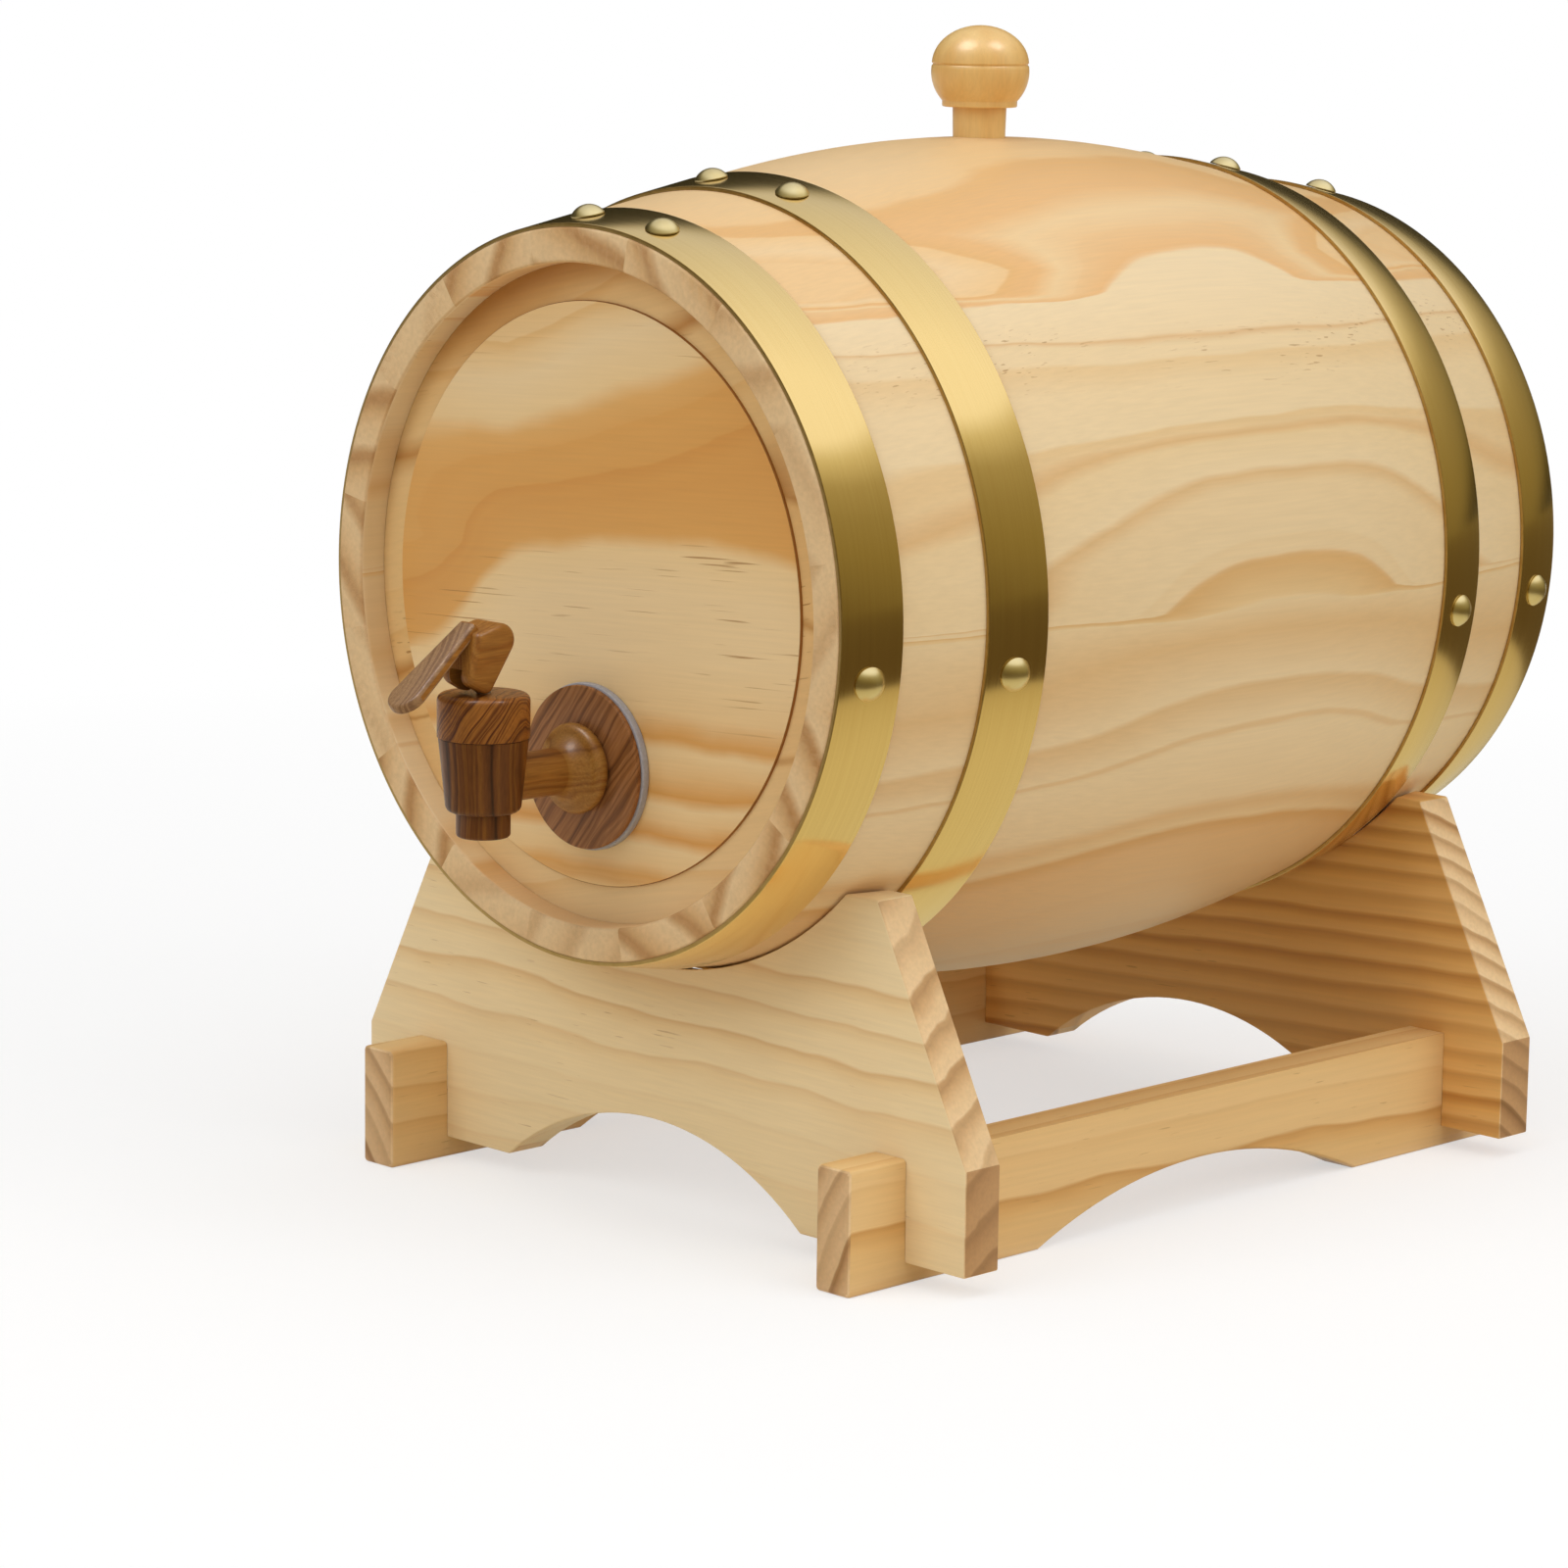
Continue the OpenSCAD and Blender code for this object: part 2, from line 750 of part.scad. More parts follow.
module paddle() {
    root = paddle_root_width / 2;
    tip = paddle_tip_width / 2;
    translate([0, 0, paddle_top - paddle_thickness]) rotate([0, 0, -90])
        linear_extrude(paddle_thickness) {
            polygon([
                [-paddle_back, -root], [-paddle_back, root],
                [paddle_length - tip, tip], [paddle_length - tip, -tip]
            ]);
            translate([paddle_length - tip, 0]) circle(r = tip);
        }
}

module tap_lever() {
    color(olive_wood)
    in_lever() difference() {
        union() {
            side_on(hub_width) hub_outline();
            paddle();
        }
        side_on(slot_width)
            translate([slot_back, -paddle_top]) square([slot_length, paddle_top + slot_top]);
        translate([-hub_width / 2 - cut, 0, 0]) rotate([0, 90, 0])
            cylinder(r = pin_diameter / 2 + fit_gap / 2, h = hub_width - pin_cover + cut);
    }
}

// Pin put in from the left, in a hole that stops short of the right side
module lever_pin() {
    color(steel)
    in_lever() translate([fit_gap - hub_width / 2, 0, 0]) rotate([0, 90, 0])
        cylinder(d = pin_diameter, h = hub_width - pin_cover - 2 * fit_gap);
}

bung_stave();
for (i = [1 : stave_count - 1]) stave(i);
front_head();
rear_head();
front_end_hoop();
front_quarter_hoop();
rear_quarter_hoop();
rear_end_hoop();
front_end_rivets();
front_quarter_rivets();
rear_quarter_rivets();
rear_end_rivets();
bung();
front_cradle();
rear_cradle();
left_rail();
right_rail();
tap_body();
tap_bonnet();
tap_flange();
front_washer();
inner_washer();
backing_nut();
valve_stem();
seat_cup();
tap_lever();
lever_pin();
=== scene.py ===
from math import acos, asin, atan2, cos, degrees, pi, radians, sin, sqrt, tan

import bmesh
import bpy
from mathutils import Matrix, Vector


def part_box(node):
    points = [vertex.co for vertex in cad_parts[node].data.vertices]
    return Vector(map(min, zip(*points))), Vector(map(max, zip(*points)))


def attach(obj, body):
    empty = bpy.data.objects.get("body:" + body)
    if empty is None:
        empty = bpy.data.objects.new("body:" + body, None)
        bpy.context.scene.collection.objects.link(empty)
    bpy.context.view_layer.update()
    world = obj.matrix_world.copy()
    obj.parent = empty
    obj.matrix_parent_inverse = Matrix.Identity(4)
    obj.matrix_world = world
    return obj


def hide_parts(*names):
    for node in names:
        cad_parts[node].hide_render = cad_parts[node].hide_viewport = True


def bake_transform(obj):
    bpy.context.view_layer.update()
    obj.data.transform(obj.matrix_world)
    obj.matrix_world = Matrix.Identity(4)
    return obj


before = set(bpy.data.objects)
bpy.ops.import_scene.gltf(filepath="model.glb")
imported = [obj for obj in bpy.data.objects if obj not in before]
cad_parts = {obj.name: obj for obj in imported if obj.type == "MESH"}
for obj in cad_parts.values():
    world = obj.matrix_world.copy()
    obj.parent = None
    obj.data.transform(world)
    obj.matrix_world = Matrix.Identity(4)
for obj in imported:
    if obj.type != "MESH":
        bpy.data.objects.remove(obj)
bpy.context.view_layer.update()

mm = 0.001
noiseSpan = (0.3, 0.7)  # the values that a noise mostly takes
print("frame loaded:", len(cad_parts), "nodes")


def linearColor(code):
    parts = [int(code[i:i + 2], 16) / 255 for i in (1, 3, 5)]
    return [p / 12.92 if p <= 0.04045 else ((p + 0.055) / 1.055) ** 2.4 for p in parts] + [1.0]


def middle(node):
    low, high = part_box(node)
    return (low + high) / 2 / mm


# places taken from the frame, in mm
staveLow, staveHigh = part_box("bung_stave")
halfLength = (staveHigh.y - staveLow.y) / 2 / mm
midY = (staveHigh.y + staveLow.y) / 2 / mm
axisZ = middle("rear_head").z
barrelMiddle = Vector((0, midY, axisZ))
bellyRadius = staveHigh.z / mm - axisZ
tapMiddle = Vector((0, middle("tap_bonnet").y, middle("tap_flange").z))
pinMiddle = Vector((0, middle("lever_pin").y, middle("lever_pin").z))


# adds a node with its settings, links its inputs by name or in order, and gives one of its outputs
def addNode(tree, kind, inputs=(), output=0, stops=None, **settings):
    node = tree.nodes.new("ShaderNode" + kind)
    for name, value in settings.items():
        setattr(node, name, value)
    for name, value in inputs.items() if isinstance(inputs, dict) else enumerate(inputs):
        if isinstance(value, bpy.types.NodeSocket):
            tree.links.new(value, node.inputs[name])
        else:
            node.inputs[name].default_value = value
    if stops:
        elements = node.color_ramp.elements
        for element, (position, code) in zip((elements[0], elements[1]), (stops[0], stops[-1])):
            element.position = position
            element.color = linearColor(code)
        for position, code in stops[1:-1]:
            elements.new(position).color = linearColor(code)
    return node.outputs[output]


def newMaterial(name, sockets):
    material = bpy.data.materials.new(name)
    material.use_nodes = True
    shader = material.node_tree.nodes["Principled BSDF"]
    for socket, value in sockets.items():
        shader.inputs[socket].default_value = value
    return material, material.node_tree, shader


# object coordinates in the frame of a log, whose X runs along the grain
def logPlace(tree, pith, lean):
    place = addNode(tree, "TexCoord", output="Object")
    turns = [radians(angle) for angle in lean]
    return addNode(tree, "Mapping", [place, Vector(pith) * mm, turns], vector_type="TEXTURE")


# cloudy pattern whose patches have the given sizes in mm
def cloudy(tree, place, sizes, detail=2.0, output="Fac"):
    perMetre = [1 / (size * mm) for size in sizes]
    scaled = addNode(tree, "VectorMath", [place, perMetre], operation="MULTIPLY")
    return addNode(tree, "TexNoise", {"Vector": scaled, "Scale": 1.0, "Detail": detail, "Roughness": 0.5},
                   output)


# a place that strays from the straight grain
def wandering(tree, place, sizes, amount, detail=2.0):
    drift = cloudy(tree, place, sizes, detail, output="Color")
    drift = addNode(tree, "VectorMath", [drift, (0.5, 0.5, 0.5)], operation="SUBTRACT")
    drift = addNode(tree, "VectorMath", {0: drift, "Scale": amount * mm}, operation="SCALE")
    return addNode(tree, "VectorMath", [place, drift], operation="ADD")


# colours read off a height, with the stops given in mm
def heightColor(tree, height, stops):
    low, high = stops[0][0], stops[-1][0]
    level = addNode(tree, "MapRange", [height, low * mm, high * mm])
    shares = [((place - low) / (high - low), code) for place, code in stops]
    return addNode(tree, "ValToRGB", [level], stops=shares)


# distance from the pith, counted in rings
def ringCount(tree, place, ring):
    flat = addNode(tree, "VectorMath", [place, (0, 1, 1)], operation="MULTIPLY")
    radius = addNode(tree, "VectorMath", [flat], operation="LENGTH", output="Value")
    return addNode(tree, "Math", [radius, ring * mm], operation="DIVIDE")


# late wood of rings that differ in strength, laid over a base colour
def ringed(tree, rings, look, base, blend):
    phase = addNode(tree, "Math", [rings], operation="FRACT")
    number = addNode(tree, "Math", [rings], operation="FLOOR")
    chance = addNode(tree, "TexWhiteNoise", {"W": number}, noise_dimensions="1D")
    strength = addNode(tree, "MapRange", [chance, 0, 1, look["faintest"], 1])
    ringColor = addNode(tree, "ValToRGB", [phase], stops=look["ringStops"])
    return addNode(tree, "Mix", {0: strength, 6: base, 7: ringColor}, data_type="RGBA",
                   blend_type=blend, output=2)


# flat-sawn wood: bands by height that arch along the grain, by a weight that changes with the height
def archedHeight(tree, log, height, arch):
    rise = addNode(tree, "SeparateXYZ", [log])
    for operation, value in (
            ("SUBTRACT", arch["center"] * mm), ("ABSOLUTE", 0), ("DIVIDE", arch["reach"] * mm),
            ("POWER", arch["power"]), ("MULTIPLY", arch["drop"] * mm)):
        rise = addNode(tree, "Math", [rise, value], operation=operation)
    slack = addNode(tree, "Math", [rise, arch["limit"] * mm], operation="ADD")
    share = addNode(tree, "Math", [arch["limit"] * mm, slack], operation="DIVIDE")
    bow = addNode(tree, "Math", [rise, share], operation="MULTIPLY")
    weight = heightColor(tree, height, arch["weights"])
    return addNode(tree, "Math", [bow, weight, height], operation="MULTIPLY_ADD")


# bands that also climb along the grain, between two ends
def slantedHeight(tree, log, level, height, slant):
    along = addNode(tree, "SeparateXYZ", [log])
    ends, shift = [[part * mm for part in slant[key]] for key in ("ends", "shift")]
    climb = addNode(tree, "MapRange", [along, *ends, *shift])
    weight = heightColor(tree, height, slant["weights"])
    return addNode(tree, "Math", [climb, weight, level], operation="MULTIPLY_ADD")


# colour made lighter and darker by a fine pattern
def shaded(tree, color, pattern, shades):
    shade = addNode(tree, "MapRange", [pattern, *noiseSpan, *shades])
    return addNode(tree, "VectorMath", {0: color, "Scale": shade}, operation="SCALE")


# colour given to the shader, with the roughness and the relief (strength, mm) of a fine pattern
def dressShader(tree, shader, color, pattern, roughs=None, relief=None):
    tree.links.new(color, shader.inputs["Base Color"])
    if roughs:
        rough = addNode(tree, "MapRange", [pattern, *noiseSpan, *roughs])
        tree.links.new(rough, shader.inputs["Roughness"])
    if relief:
        strength, depth = relief
        bump = addNode(tree, "Bump", {"Height": pattern, "Strength": strength, "Distance": depth * mm})
        tree.links.new(bump, shader.inputs["Normal"])


fleckFade, patchSpan = 0.06, (0.42, 0.58)  # how softly flecks and their patches come in


# Sanded pine under a thin satin lacquer: pale early wood, honey late wood with one hard edge,
# fine fibres along the grain and short dark resin flecks.
def pineMaterial(name, look):
    material, tree, shader = newMaterial(
        name, {"Coat Weight": look["coat"], "Coat Roughness": 0.3, "IOR": 1.5, "Specular IOR Level": 0.35})
    log = logPlace(tree, look["pith"], look["lean"])
    place = wandering(tree, log, look["driftSize"], look["drift"], 4.0)
    height = addNode(tree, "SeparateXYZ", [place], output="Z")
    if "bands" in look:
        level = archedHeight(tree, log, height, look["arch"])
        if "slant" in look:
            level = slantedHeight(tree, log, level, height, look["slant"])
        bands = heightColor(tree, level, look["bands"])
        rings = addNode(tree, "Math", [level, look["ring"] * mm], operation="DIVIDE")
        wood = ringed(tree, rings, look, bands, "MULTIPLY")
    else:
        earlyWood = linearColor(look["ringStops"][0][1])
        wood = ringed(tree, ringCount(tree, place, look["ring"]), look, earlyWood, "MIX")
    # fibres, drawn a little coarser than real ones so that they show
    fibre = cloudy(tree, log, look["fibreSize"], 3.0)
    wood = shaded(tree, wood, fibre, (1 - look["fibre"], 1 + look["fibre"]))
    # flecks gather in patches and at the heights that the weights give
    fleck = cloudy(tree, log, look["fleckSize"], 1.0)
    fleck = addNode(tree, "MapRange", [fleck, look["fleckFrom"], look["fleckFrom"] + fleckFade, 0, 1])
    patch = cloudy(tree, log, look["patchSize"], 1.0)
    patch = addNode(tree, "MapRange", [patch, *patchSpan, 0, look["fleck"]])
    fleck = addNode(tree, "Math", [fleck, patch], operation="MULTIPLY")
    if "fleckWeights" in look:
        weight = heightColor(tree, height, look["fleckWeights"])
        fleck = addNode(tree, "Math", [fleck, weight], operation="MULTIPLY")
    wood = addNode(tree, "Mix", {0: fleck, 6: wood, 7: linearColor(look["fleckColor"])},
                   data_type="RGBA", output=2)
    dressShader(tree, shader, wood, fibre, (0.4, 0.52), (0.06, 0.2))
    return material


fineFibre = dict(fibre=0.03, fibreSize=(24, 0.7, 0.7))
fineLines = [(0.0, "#FFFFFF"), (0.6, "#FFFDF9"), (0.9, "#F7EAD5"), (0.95, "#F7EAD5"), (1.0, "#FFFFFF")]
# bands and weights are placed by the height above the barrel's axis, in mm
stavePine = pineMaterial("pineStaveTurned", dict(
    fineFibre, pith=barrelMiddle, lean=(0, 0, 90), coat=0.12, drift=6, driftSize=(70, 34, 34),
    ring=12.6, faintest=-0.8, ringStops=fineLines,
    arch=dict(center=5, reach=40, drop=19, power=3, limit=45, weights=[
        (-60, "#8B8B8B"), (-44, "#737373"), (-34, "#9E9E9E"), (-16, "#929292"), (-8, "#6A6A6A"),
        (-2.5, "#434343"), (-1, "#E5E5E5"), (3, "#DDDDDD"), (9.5, "#C1C1C1"), (18.5, "#ACACAC"),
        (26, "#8E8E8E"), (31.5, "#6F6F6F"), (52, "#303030"), (60.5, "#A2A2A2"), (62, "#FFFFFF"),
        (67, "#FFFFFF"), (74, "#9A9A9A"), (92, "#959595")]),
    bands=[
        (-75, "#E6C698"), (-53, "#E2B984"), (-50.3, "#D9A96C"), (-49.3, "#E9CB9B"), (-46, "#E1BA85"),
        (-43.5, "#EBD0A4"), (-28, "#EDD4A9"), (-26.8, "#E1BB86"), (-25.8, "#EDD4A9"), (-18, "#E2BE8A"),
        (-17, "#EDD4A9"), (-6.5, "#E3BE88"), (-0.5, "#EBD0A2"), (0.5, "#E7C690"),
        (8.2, "#DEB275"), (9.2, "#EDD4A8"), (23, "#EBCFA0"), (25.6, "#E2BC86"), (26.8, "#EED5A9"),
        (33, "#ECD1A2"), (34.6, "#E3BD88"), (35.6, "#EED5A9"), (53, "#EDD2A4"), (54.2, "#E1BA86"),
        (55, "#EFD5A9"), (69.2, "#F0D7AC"), (70.2, "#EAB97D"), (79, "#EFCE9B"), (83, "#EABA7E"),
        (88, "#EFC78E"), (95, "#F0CF9E"), (100, "#EFC891")],
    fleckSize=(6, 0.5, 0.5), fleckFrom=0.66, patchSize=(50, 14, 14),
    fleck=0.6, fleckColor="#A87743", fleckWeights=[
        (-40, "#404040"), (0, "#202020"), (42, "#202020"), (48, "#FFFFFF"), (53, "#FFFFFF"), (57, "#202020"),
        (92, "#101010")]))

headLook = dict(
    fineFibre, pith=barrelMiddle, lean=(0, -3, 0), coat=0.06, drift=7.5, driftSize=(40, 30, 26),
    ring=8.3, faintest=-2.5, ringStops=fineLines, slant=dict(ends=(-24, 58), shift=(5.5, -14), weights=[
        (14, "#000000"), (34, "#FFFFFF")]),
    arch=dict(center=17, reach=54, drop=20, power=8, limit=27, weights=[
        (-24, "#000000"), (-14, "#FFFFFF"), (10, "#FFFFFF"), (24, "#959595"), (34, "#000000")]),
    bands=[
        (-68, "#E8BE80"), (-60, "#EDC98F"), (-57.5, "#DFA65B"), (-54.5, "#EDCA92"), (-51, "#EFD09C"),
        (-48.5, "#DA9C4F"), (-45, "#EBC58B"), (-42, "#EFD09C"), (-39.3, "#DB9F52"), (-35, "#EAC287"),
        (-31, "#EFD09C"), (-28.5, "#DDA257"), (-23, "#EDCB95"), (-12, "#F0D3A2"), (0, "#F0D3A2"),
        (9, "#EFCF99"), (12.5, "#E0A75B"), (20, "#DCA155"), (32, "#E0A85C"), (37, "#E4B068"),
        (41, "#EFCF99"), (50, "#F0D4A4"), (56, "#EDCB94"), (68, "#EBC488")],
    fleckSize=(26, 0.6, 0.6), fleckFrom=0.655, patchSize=(44, 30, 11),
    fleck=0.75, fleckColor="#A56F34", fleckWeights=[
        (-30, "#303030"), (-18, "#FFFFFF"), (8, "#FFFFFF"), (12, "#303030"), (44, "#303030"), (50, "#C0C0C0"),
        (58, "#606060")])
headPine = pineMaterial("pineHeadSanded", headLook)
# the lower border shows the same wood with closer streaks; its darker top is painted shade from the rim above
# it
borderPineShaded = pineMaterial("pineHeadBorderShadedTop", dict(
    headLook, lean=(0, -12, 0), bands=[
        (-68, "#EFD09C"), (-60, "#ECCB96"), (-40, "#E9C48A"), (-38.5, "#CB985A"), (-37, "#E8C186"),
        (-12, "#E6BD80"), (-10.5, "#C49050"), (-8.5, "#E5BB7C"), (14, "#E3B777"), (16, "#BC8545"),
        (19, "#E6BF82"), (38, "#E6C288"), (41, "#C08A4A"), (45, "#E6C288"), (56, "#E2BB80"), (62, "#CF9E5E"),
        (68, "#B9813F")]))


# the colours of one ring, from its early wood back to it
def ringColors(places, *codes):
    return list(zip(places, codes + codes[:1]))


facePlaces = (0.0, 0.5, 0.8, 0.93, 1.0)
endPlaces = (0.0, 0.3, 0.62, 0.8, 0.92, 1.0)
boardFace = dict(
    fineFibre, coat=0.04, fleckSize=(8, 0.5, 0.5), fleckFrom=0.7,
    patchSize=(60, 20, 20), fleck=0.4, fleckColor="#A87743", faintest=0.2)
# sawn ends: the same rings cut across, browner and without lengthwise fibres
boardEnd = dict(
    boardFace, coat=0.0, fibre=0.05, fibreSize=(0.9, 0.9, 0.9), fleck=0.0, faintest=0.3,
    ringStops=ringColors(endPlaces, "#F3D2A2", "#EFCB98", "#D2A46E", "#AE7C45", "#BC8C56"))
# upright sawn ends of the cradles: a darker copy of the sawn ends, painted shade on faces turned away from
# the light
squareEndShaded = dict(
    boardEnd, ringStops=ringColors(endPlaces, "#C89C6C", "#C29564", "#A87B4C", "#835A30", "#92683C"))
railEnd = dict(
    boardEnd, ringStops=ringColors(endPlaces, "#E0BC8E", "#DAB484", "#BF9160", "#9A6C3C", "#A97C4C"))
# the step round the panel: brown end grain that also carries painted shade, the shadow line at the step
stepPineShaded = pineMaterial("pineHeadStepPaintedShade", dict(
    boardEnd, pith=barrelMiddle, lean=(0, 0, 0), ring=9, drift=5, driftSize=(20, 20, 20),
    ringStops=ringColors((0.0, 0.6, 0.85, 1.0), "#A06B33", "#94602A", "#7E4F22")))
railLook = dict(
    ring=5, drift=9, driftSize=(150, 50, 50), ends=railEnd,
    ringStops=ringColors(facePlaces, "#F0CB90", "#ECC382", "#E2B06A", "#D29A52"))
boardLogs = dict(
    front_cradle=dict(
        pith=(0, 60, -150), lean=(0, 0, 2), ring=7.5, drift=16, driftSize=(110, 40, 40), faintest=-0.1,
        ends=squareEndShaded, ringStops=ringColors(facePlaces, "#F9E2B4", "#F7DCAA", "#EFCA8F", "#DDAB68")),
    # the rear board's darker, more honey rings are painted shade from the barrel above it
    rear_cradle=dict(
        pith=(0, 40, -90), lean=(0, -3, 0), ring=4.6, drift=9, driftSize=(150, 50, 50), faintest=0.3,
        ends=squareEndShaded, ringStops=ringColors(
            (0.0, 0.35, 0.6, 0.78, 0.9, 1.0), "#F3C47C", "#EEB96B", "#D3964A", "#BE7F39", "#D79E52")),
    left_rail=dict(railLook, pith=(-150, 0, -60), lean=(0, 0, 90)),
    right_rail=dict(railLook, pith=(160, 0, -40), lean=(0, 1, 90)))
boardWoods = {}
for node, log in boardLogs.items():
    board = node.title().replace("_", "")
    boardWoods[node] = [
        pineMaterial("pinePlaned" + board, dict(boardFace, **log)),
        pineMaterial("pineSawnSlant" + board, dict(log, **boardEnd)),
        pineMaterial("pineSawnEnd" + board, dict(log, **log["ends"]))]
print("pine ready")


# End grain of pine: the same rings cut square across, duller and browner, with no lengthwise fibres.
# Each stave carries its own turn in the attribute grainTurn, so neighbours differ as on a real rim.
def endGrainMaterial(name, look):
    material, tree, shader = newMaterial(name, {"Roughness": 0.6, "IOR": 1.5, "Specular IOR Level": 0.3})
    place = addNode(tree, "TexCoord", output="Object")
    ownTurn = addNode(tree, "Attribute", attribute_name="grainTurn", output="Fac")
    stray = wandering(tree, place, (16, 16, 16), look["drift"])
    turned = addNode(tree, "VectorRotate", {"Vector": stray, "Center": barrelMiddle * mm, "Angle": ownTurn},
                     rotation_type="Y_AXIS")
    across = addNode(tree, "SeparateXYZ", [turned])
    rings = addNode(tree, "Math", [across, look["ring"] * mm], operation="DIVIDE")
    phase = addNode(tree, "Math", [rings], operation="FRACT")
    ringColor = addNode(tree, "ValToRGB", [phase], stops=look["stops"])
    chance = addNode(tree, "TexWhiteNoise", {"W": ownTurn}, noise_dimensions="1D")
    strength = addNode(tree, "MapRange", [chance, 0, 1, look["faintest"], 1])
    earlyWood = linearColor(look["stops"][0][1])
    wood = addNode(tree, "Mix", {0: strength, 6: earlyWood, 7: ringColor}, data_type="RGBA", output=2)
    pores = cloudy(tree, place, (0.9, 0.9, 0.9))
    dressShader(tree, shader, shaded(tree, wood, pores, (0.94, 1.05)), pores, relief=(0.08, 0.2))
    return material


rimPine = endGrainMaterial("pineRimSanded", dict(
    ring=12, drift=4, faintest=0.1, stops=ringColors(
        (0.0, 0.3, 0.55, 0.72, 0.82, 1.0), "#E6C799", "#E3C08F", "#D2A873", "#B4824B", "#BC8C57")))


# Brass strip, brushed round the barrel: reflections stay sharp round the hoop and smear across it.
def brassMaterial(name, look):
    material, tree, shader = newMaterial(name, {
        "Metallic": 1.0, "Anisotropic": look["smear"], "Anisotropic Rotation": 0.25, "Coat Weight": 0.4,
        "Coat Roughness": 0.2})
    place = addNode(tree, "TexCoord", output="Object")
    grain = cloudy(tree, place, look["grain"], 3.0)
    tint = addNode(tree, "ValToRGB", [grain], stops=look["tints"])
    dressShader(tree, shader, tint, grain, (look["rough"] - 0.02, look["rough"] + 0.02))
    if look["smear"]:
        tangent = addNode(tree, "Tangent", direction_type="UV_MAP", uv_map="brushed")
        tree.links.new(tangent, shader.inputs["Tangent"])
    return material


hoopBrass = brassMaterial("brassHoopBrushed", dict(
    tints=[(0.3, "#F6D58D"), (0.7, "#FBDC95")], rough=0.16, smear=0.8, grain=(60, 0.35, 60)))
# cut edges of the strip, left duller and darker than its brushed face; the darker tint is partly painted
# shade, the thin shadow line where hoop meets wood
edgeBrassShaded = brassMaterial("brassEdgeShearedShaded", dict(
    tints=[(0.3, "#C0A05E"), (0.7, "#CEAE6E")], rough=0.5, smear=0.0, grain=(2, 2, 2)))
rivetBrass = brassMaterial("brassRivetStamped", dict(
    tints=[(0.3, "#F0DA9C"), (0.7, "#F6E5B0")], rough=0.33, smear=0.0, grain=(3, 3, 3)))


# Rosewood turned, oiled and buffed: dark stripes along the grain in red-brown wood, fine open pores
# and small soft highlights on the round edges.
def rosewoodMaterial(name, look):
    material, tree, shader = newMaterial(name, {
        "Coat Weight": 0.25, "Coat Roughness": 0.22, "IOR": 1.5, "Specular IOR Level": 0.16})
    log = logPlace(tree, look["pith"], look["lean"])
    place = wandering(tree, log, (30, 9, 9), look["drift"])
    count = ringCount(tree, place, look["stripe"])
    stripes = addNode(tree, "TexNoise", {"W": count, "Scale": 1.0, "Detail": 2.0},
                      noise_dimensions="1D")
    wood = addNode(tree, "ValToRGB", [stripes], stops=look["stops"])
    pores = cloudy(tree, log, (5, 0.35, 0.35))
    dressShader(tree, shader, shaded(tree, wood, pores, (0.82, 1.14)), pores, (0.52, 0.4), (0.1, 0.15))
    return material


darkStops = [(0.27, "#3C200A"), (0.4, "#573010"), (0.5, "#673B14"), (0.6, "#7A4B19"), (0.74, "#5D340F")]
warmStops = [(0.3, "#50280C"), (0.42, "#794516"), (0.55, "#9D6325"), (0.72, "#683810")]
stripeStops = [(0.28, "#6A4122"), (0.42, "#85552D"), (0.52, "#9A663A"), (0.62, "#A06C40"), (0.74, "#83552F")]
oliveStops = [(0.28, "#6F4113"), (0.42, "#8D581F"), (0.55, "#9F6B2C"), (0.72, "#7F4D19")]
litGoldStops = [(0.28, "#80501D"), (0.42, "#9A6729"), (0.55, "#A87635"), (0.72, "#8D5A23")]
sheenGreyStops = [(0.28, "#815D3E"), (0.42, "#916D49"), (0.55, "#A07B55"), (0.72, "#835E3E")]
bodyRosewood = rosewoodMaterial("rosewoodBodyTurned", dict(
    pith=tapMiddle + Vector((-24, -26, 0)), lean=(0, 90, 0), drift=4, stripe=1.7, stops=darkStops))
bonnetRosewood = rosewoodMaterial("rosewoodBonnetTurned", dict(
    pith=tapMiddle + Vector((30, 16, -10)), lean=(0, -55, 45), drift=6, stripe=0.9, stops=warmStops))
flangeRosewood = rosewoodMaterial("rosewoodFlangeTurned", dict(
    pith=tapMiddle + Vector((-40, -10, 20)), lean=(0, -54, 0), drift=5, stripe=1.3, stops=stripeStops))
# neck and bell are one wood: the neck's darker copy is painted shade under it, the bell's lighter copy is
# painted light
neckLog = dict(pith=tapMiddle + Vector((0, 0, 22)), lean=(0, 0, 90), drift=6, stripe=3.2)
neckRosewoodShaded = rosewoodMaterial("rosewoodNeckShaded", dict(neckLog, stops=oliveStops))
bellRosewoodLit = rosewoodMaterial("rosewoodBellLit", dict(neckLog, stops=litGoldStops))


# Beech turned on a lathe and lacquered: even peach-tan with short fine rays.
def beechMaterial(name, look):
    material, tree, shader = newMaterial(
        name, {"Coat Weight": 0.2, "Coat Roughness": 0.25, "IOR": 1.5, "Specular IOR Level": 0.4})
    log = logPlace(tree, look["pith"], look["lean"])
    cloud = cloudy(tree, log, (26, 7, 7))
    wood = addNode(tree, "ValToRGB", [cloud], stops=look["stops"])
    rays = cloudy(tree, log, (4, 0.5, 0.5))
    dressShader(tree, shader, shaded(tree, wood, rays, (0.96, 1.03)), rays, (0.42, 0.34))
    return material


bungBeech = beechMaterial("beechBungTurned", dict(
    pith=middle("bung"), lean=(0, 90, 0),
    stops=[(0.3, "#E5B569"), (0.5, "#EBC178"), (0.7, "#EFCA84")]))


# Moulded silicone and drawn steel: small speckle that breaks up an even grey.
def speckleMaterial(name, look):
    material, tree, shader = newMaterial(name, {
        "Metallic": look["metallic"], "Roughness": look["rough"], "IOR": look["ior"]})
    place = addNode(tree, "TexCoord", output="Object")
    speck = cloudy(tree, place, look["grain"])
    tint = addNode(tree, "ValToRGB", [speck], stops=look["stops"])
    dressShader(tree, shader, tint, speck, relief=(0.05, 0.1))
    return material


